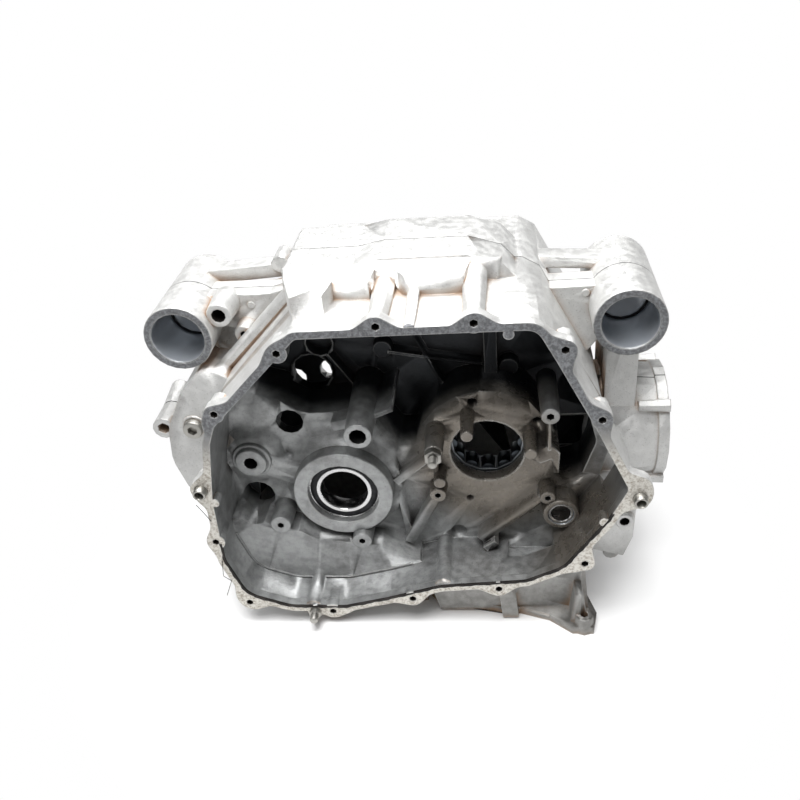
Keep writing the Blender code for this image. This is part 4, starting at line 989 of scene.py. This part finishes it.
class CRANKCASE_OT_studio(Operator):
    """Lay the floor, hang the lamps and set up the camera"""
    bl_idname = "crankcase.studio"
    bl_label = "Studio"

    def execute(self, context):
        settings = context.scene.crankcase_studio
        deselect()
        bpy.ops.mesh.primitive_plane_add(size=8, location=(0, 2.0, 0))
        floor = context.object
        bpy.ops.object.transform_apply(location=True, rotation=True, scale=True)
        floor.name = "studio_floor"
        made, tree, shader, place = new_material("studio floor")
        tone = ramp(tree, noise(tree, place, 3.0), 0.3, 0.7)
        colour = mixed(tree, tone, [c * 0.99 for c in settings.floor_colour], settings.floor_colour)
        far = math_node(tree, "SUBTRACT", 1.0, near(tree, place, (0, 0, 0), 0.10, 0.34))
        link(tree, mixed(tree, far, colour, (0, 0, 0)), shader.inputs["Base Color"])
        link(tree, mixed(tree, far, (0, 0, 0), (1, 1, 1)), shader.inputs["Emission Color"])
        shader.inputs["Emission Strength"].default_value = 1.0
        shader.inputs["Specular IOR Level"].default_value = 0.0
        shader.inputs["Roughness"].default_value = 0.9
        floor.data.materials.append(made)
        lamps = [
            ("top_softbox", (-0.05, 0.12, 1.25), 1.0, settings.top_power, (0, 0, 0.1)),
            ("high_softbox", (-0.1, -0.52, 1.45), 0.7, settings.high_power, (0, 0, 0.1)),
            ("front_softbox", (-0.9, -1.2, 0.9), 0.7, settings.front_power, (0, 0, 0.15)),
        ]
        for name, place, size, power, aim in lamps:
            deselect()
            bpy.ops.object.light_add(type="AREA", location=place)
            lamp = context.object
            lamp.name = lamp.data.name = name
            lamp.data.size = size
            lamp.data.energy = power
            direction = Vector(aim) - Vector(place)
            lamp.rotation_euler = direction.to_track_quat("-Z", "Y").to_euler()
        world = bpy.data.worlds.new("studio light")
        context.scene.world = world
        world.use_nodes = True
        tree = world.node_tree
        background = tree.nodes["Background"]
        path = tree.nodes.new("ShaderNodeLightPath")
        seen = math_node(tree, "MULTIPLY", path.outputs["Is Camera Ray"], 0.82)
        strength = math_node(tree, "ADD", seen, 0.18)
        background.inputs["Color"].default_value = (1, 1, 1, 1)
        link(tree, strength, background.inputs["Strength"])
        bpy.ops.object.camera_add(location=settings.camera_place)
        camera = context.object
        camera.name = "photo_camera"
        camera.data.lens = settings.lens
        camera.data.sensor_width = 36
        camera.data.clip_start = 0.01
        look = Matrix.Rotation(settings.camera_heading, 4, "Z")
        look @= Matrix.Rotation(math.pi / 2 - settings.camera_tilt, 4, "X")
        look @= Matrix.Rotation(settings.camera_roll, 4, "Z")
        camera.matrix_world = Matrix.Translation(settings.camera_place) @ look
        context.scene.camera = camera
        context.scene.view_settings.view_transform = "Standard"
        return {"FINISHED"}


class CRANKCASE_PT_panel(Panel):
    """Steps that dress the crankcase, in order"""
    bl_idname = "CRANKCASE_PT_panel"
    bl_label = "Crankcase"
    bl_space_type = "VIEW_3D"
    bl_region_type = "UI"
    bl_category = "Crankcase"

    def draw(self, context):
        for step in STEPS:
            self.layout.operator(step.bl_idname)
        for group in (context.scene.crankcase_finish, context.scene.crankcase_bearings,
                      context.scene.crankcase_studio):
            box = self.layout.box()
            for name in group.__annotations__:
                box.prop(group, name)


STEPS = (CRANKCASE_OT_castings, CRANKCASE_OT_rims, CRANKCASE_OT_ball_bearing, CRANKCASE_OT_roller_bearing,
         CRANKCASE_OT_small_pieces, CRANKCASE_OT_studio)
CLASSES = (FinishSettings, BearingSettings, StudioSettings, *STEPS, CRANKCASE_PT_panel)


def register():
    """Register the classes and their settings."""
    for entry in CLASSES:
        bpy.utils.register_class(entry)
    bpy.types.Scene.crankcase_finish = PointerProperty(type=FinishSettings)
    bpy.types.Scene.crankcase_bearings = PointerProperty(type=BearingSettings)
    bpy.types.Scene.crankcase_studio = PointerProperty(type=StudioSettings)


def unregister():
    """Remove the settings and the classes."""
    del bpy.types.Scene.crankcase_studio
    del bpy.types.Scene.crankcase_bearings
    del bpy.types.Scene.crankcase_finish
    for entry in reversed(CLASSES):
        bpy.utils.unregister_class(entry)


def main():
    """Register the classes and run every step in order."""
    register()
    bpy.ops.crankcase.castings()
    bpy.ops.crankcase.rims()
    bpy.ops.crankcase.ball_bearing()
    bpy.ops.crankcase.roller_bearing()
    bpy.ops.crankcase.small_pieces()
    bpy.ops.crankcase.studio()


if __name__ == "__main__":
    main()
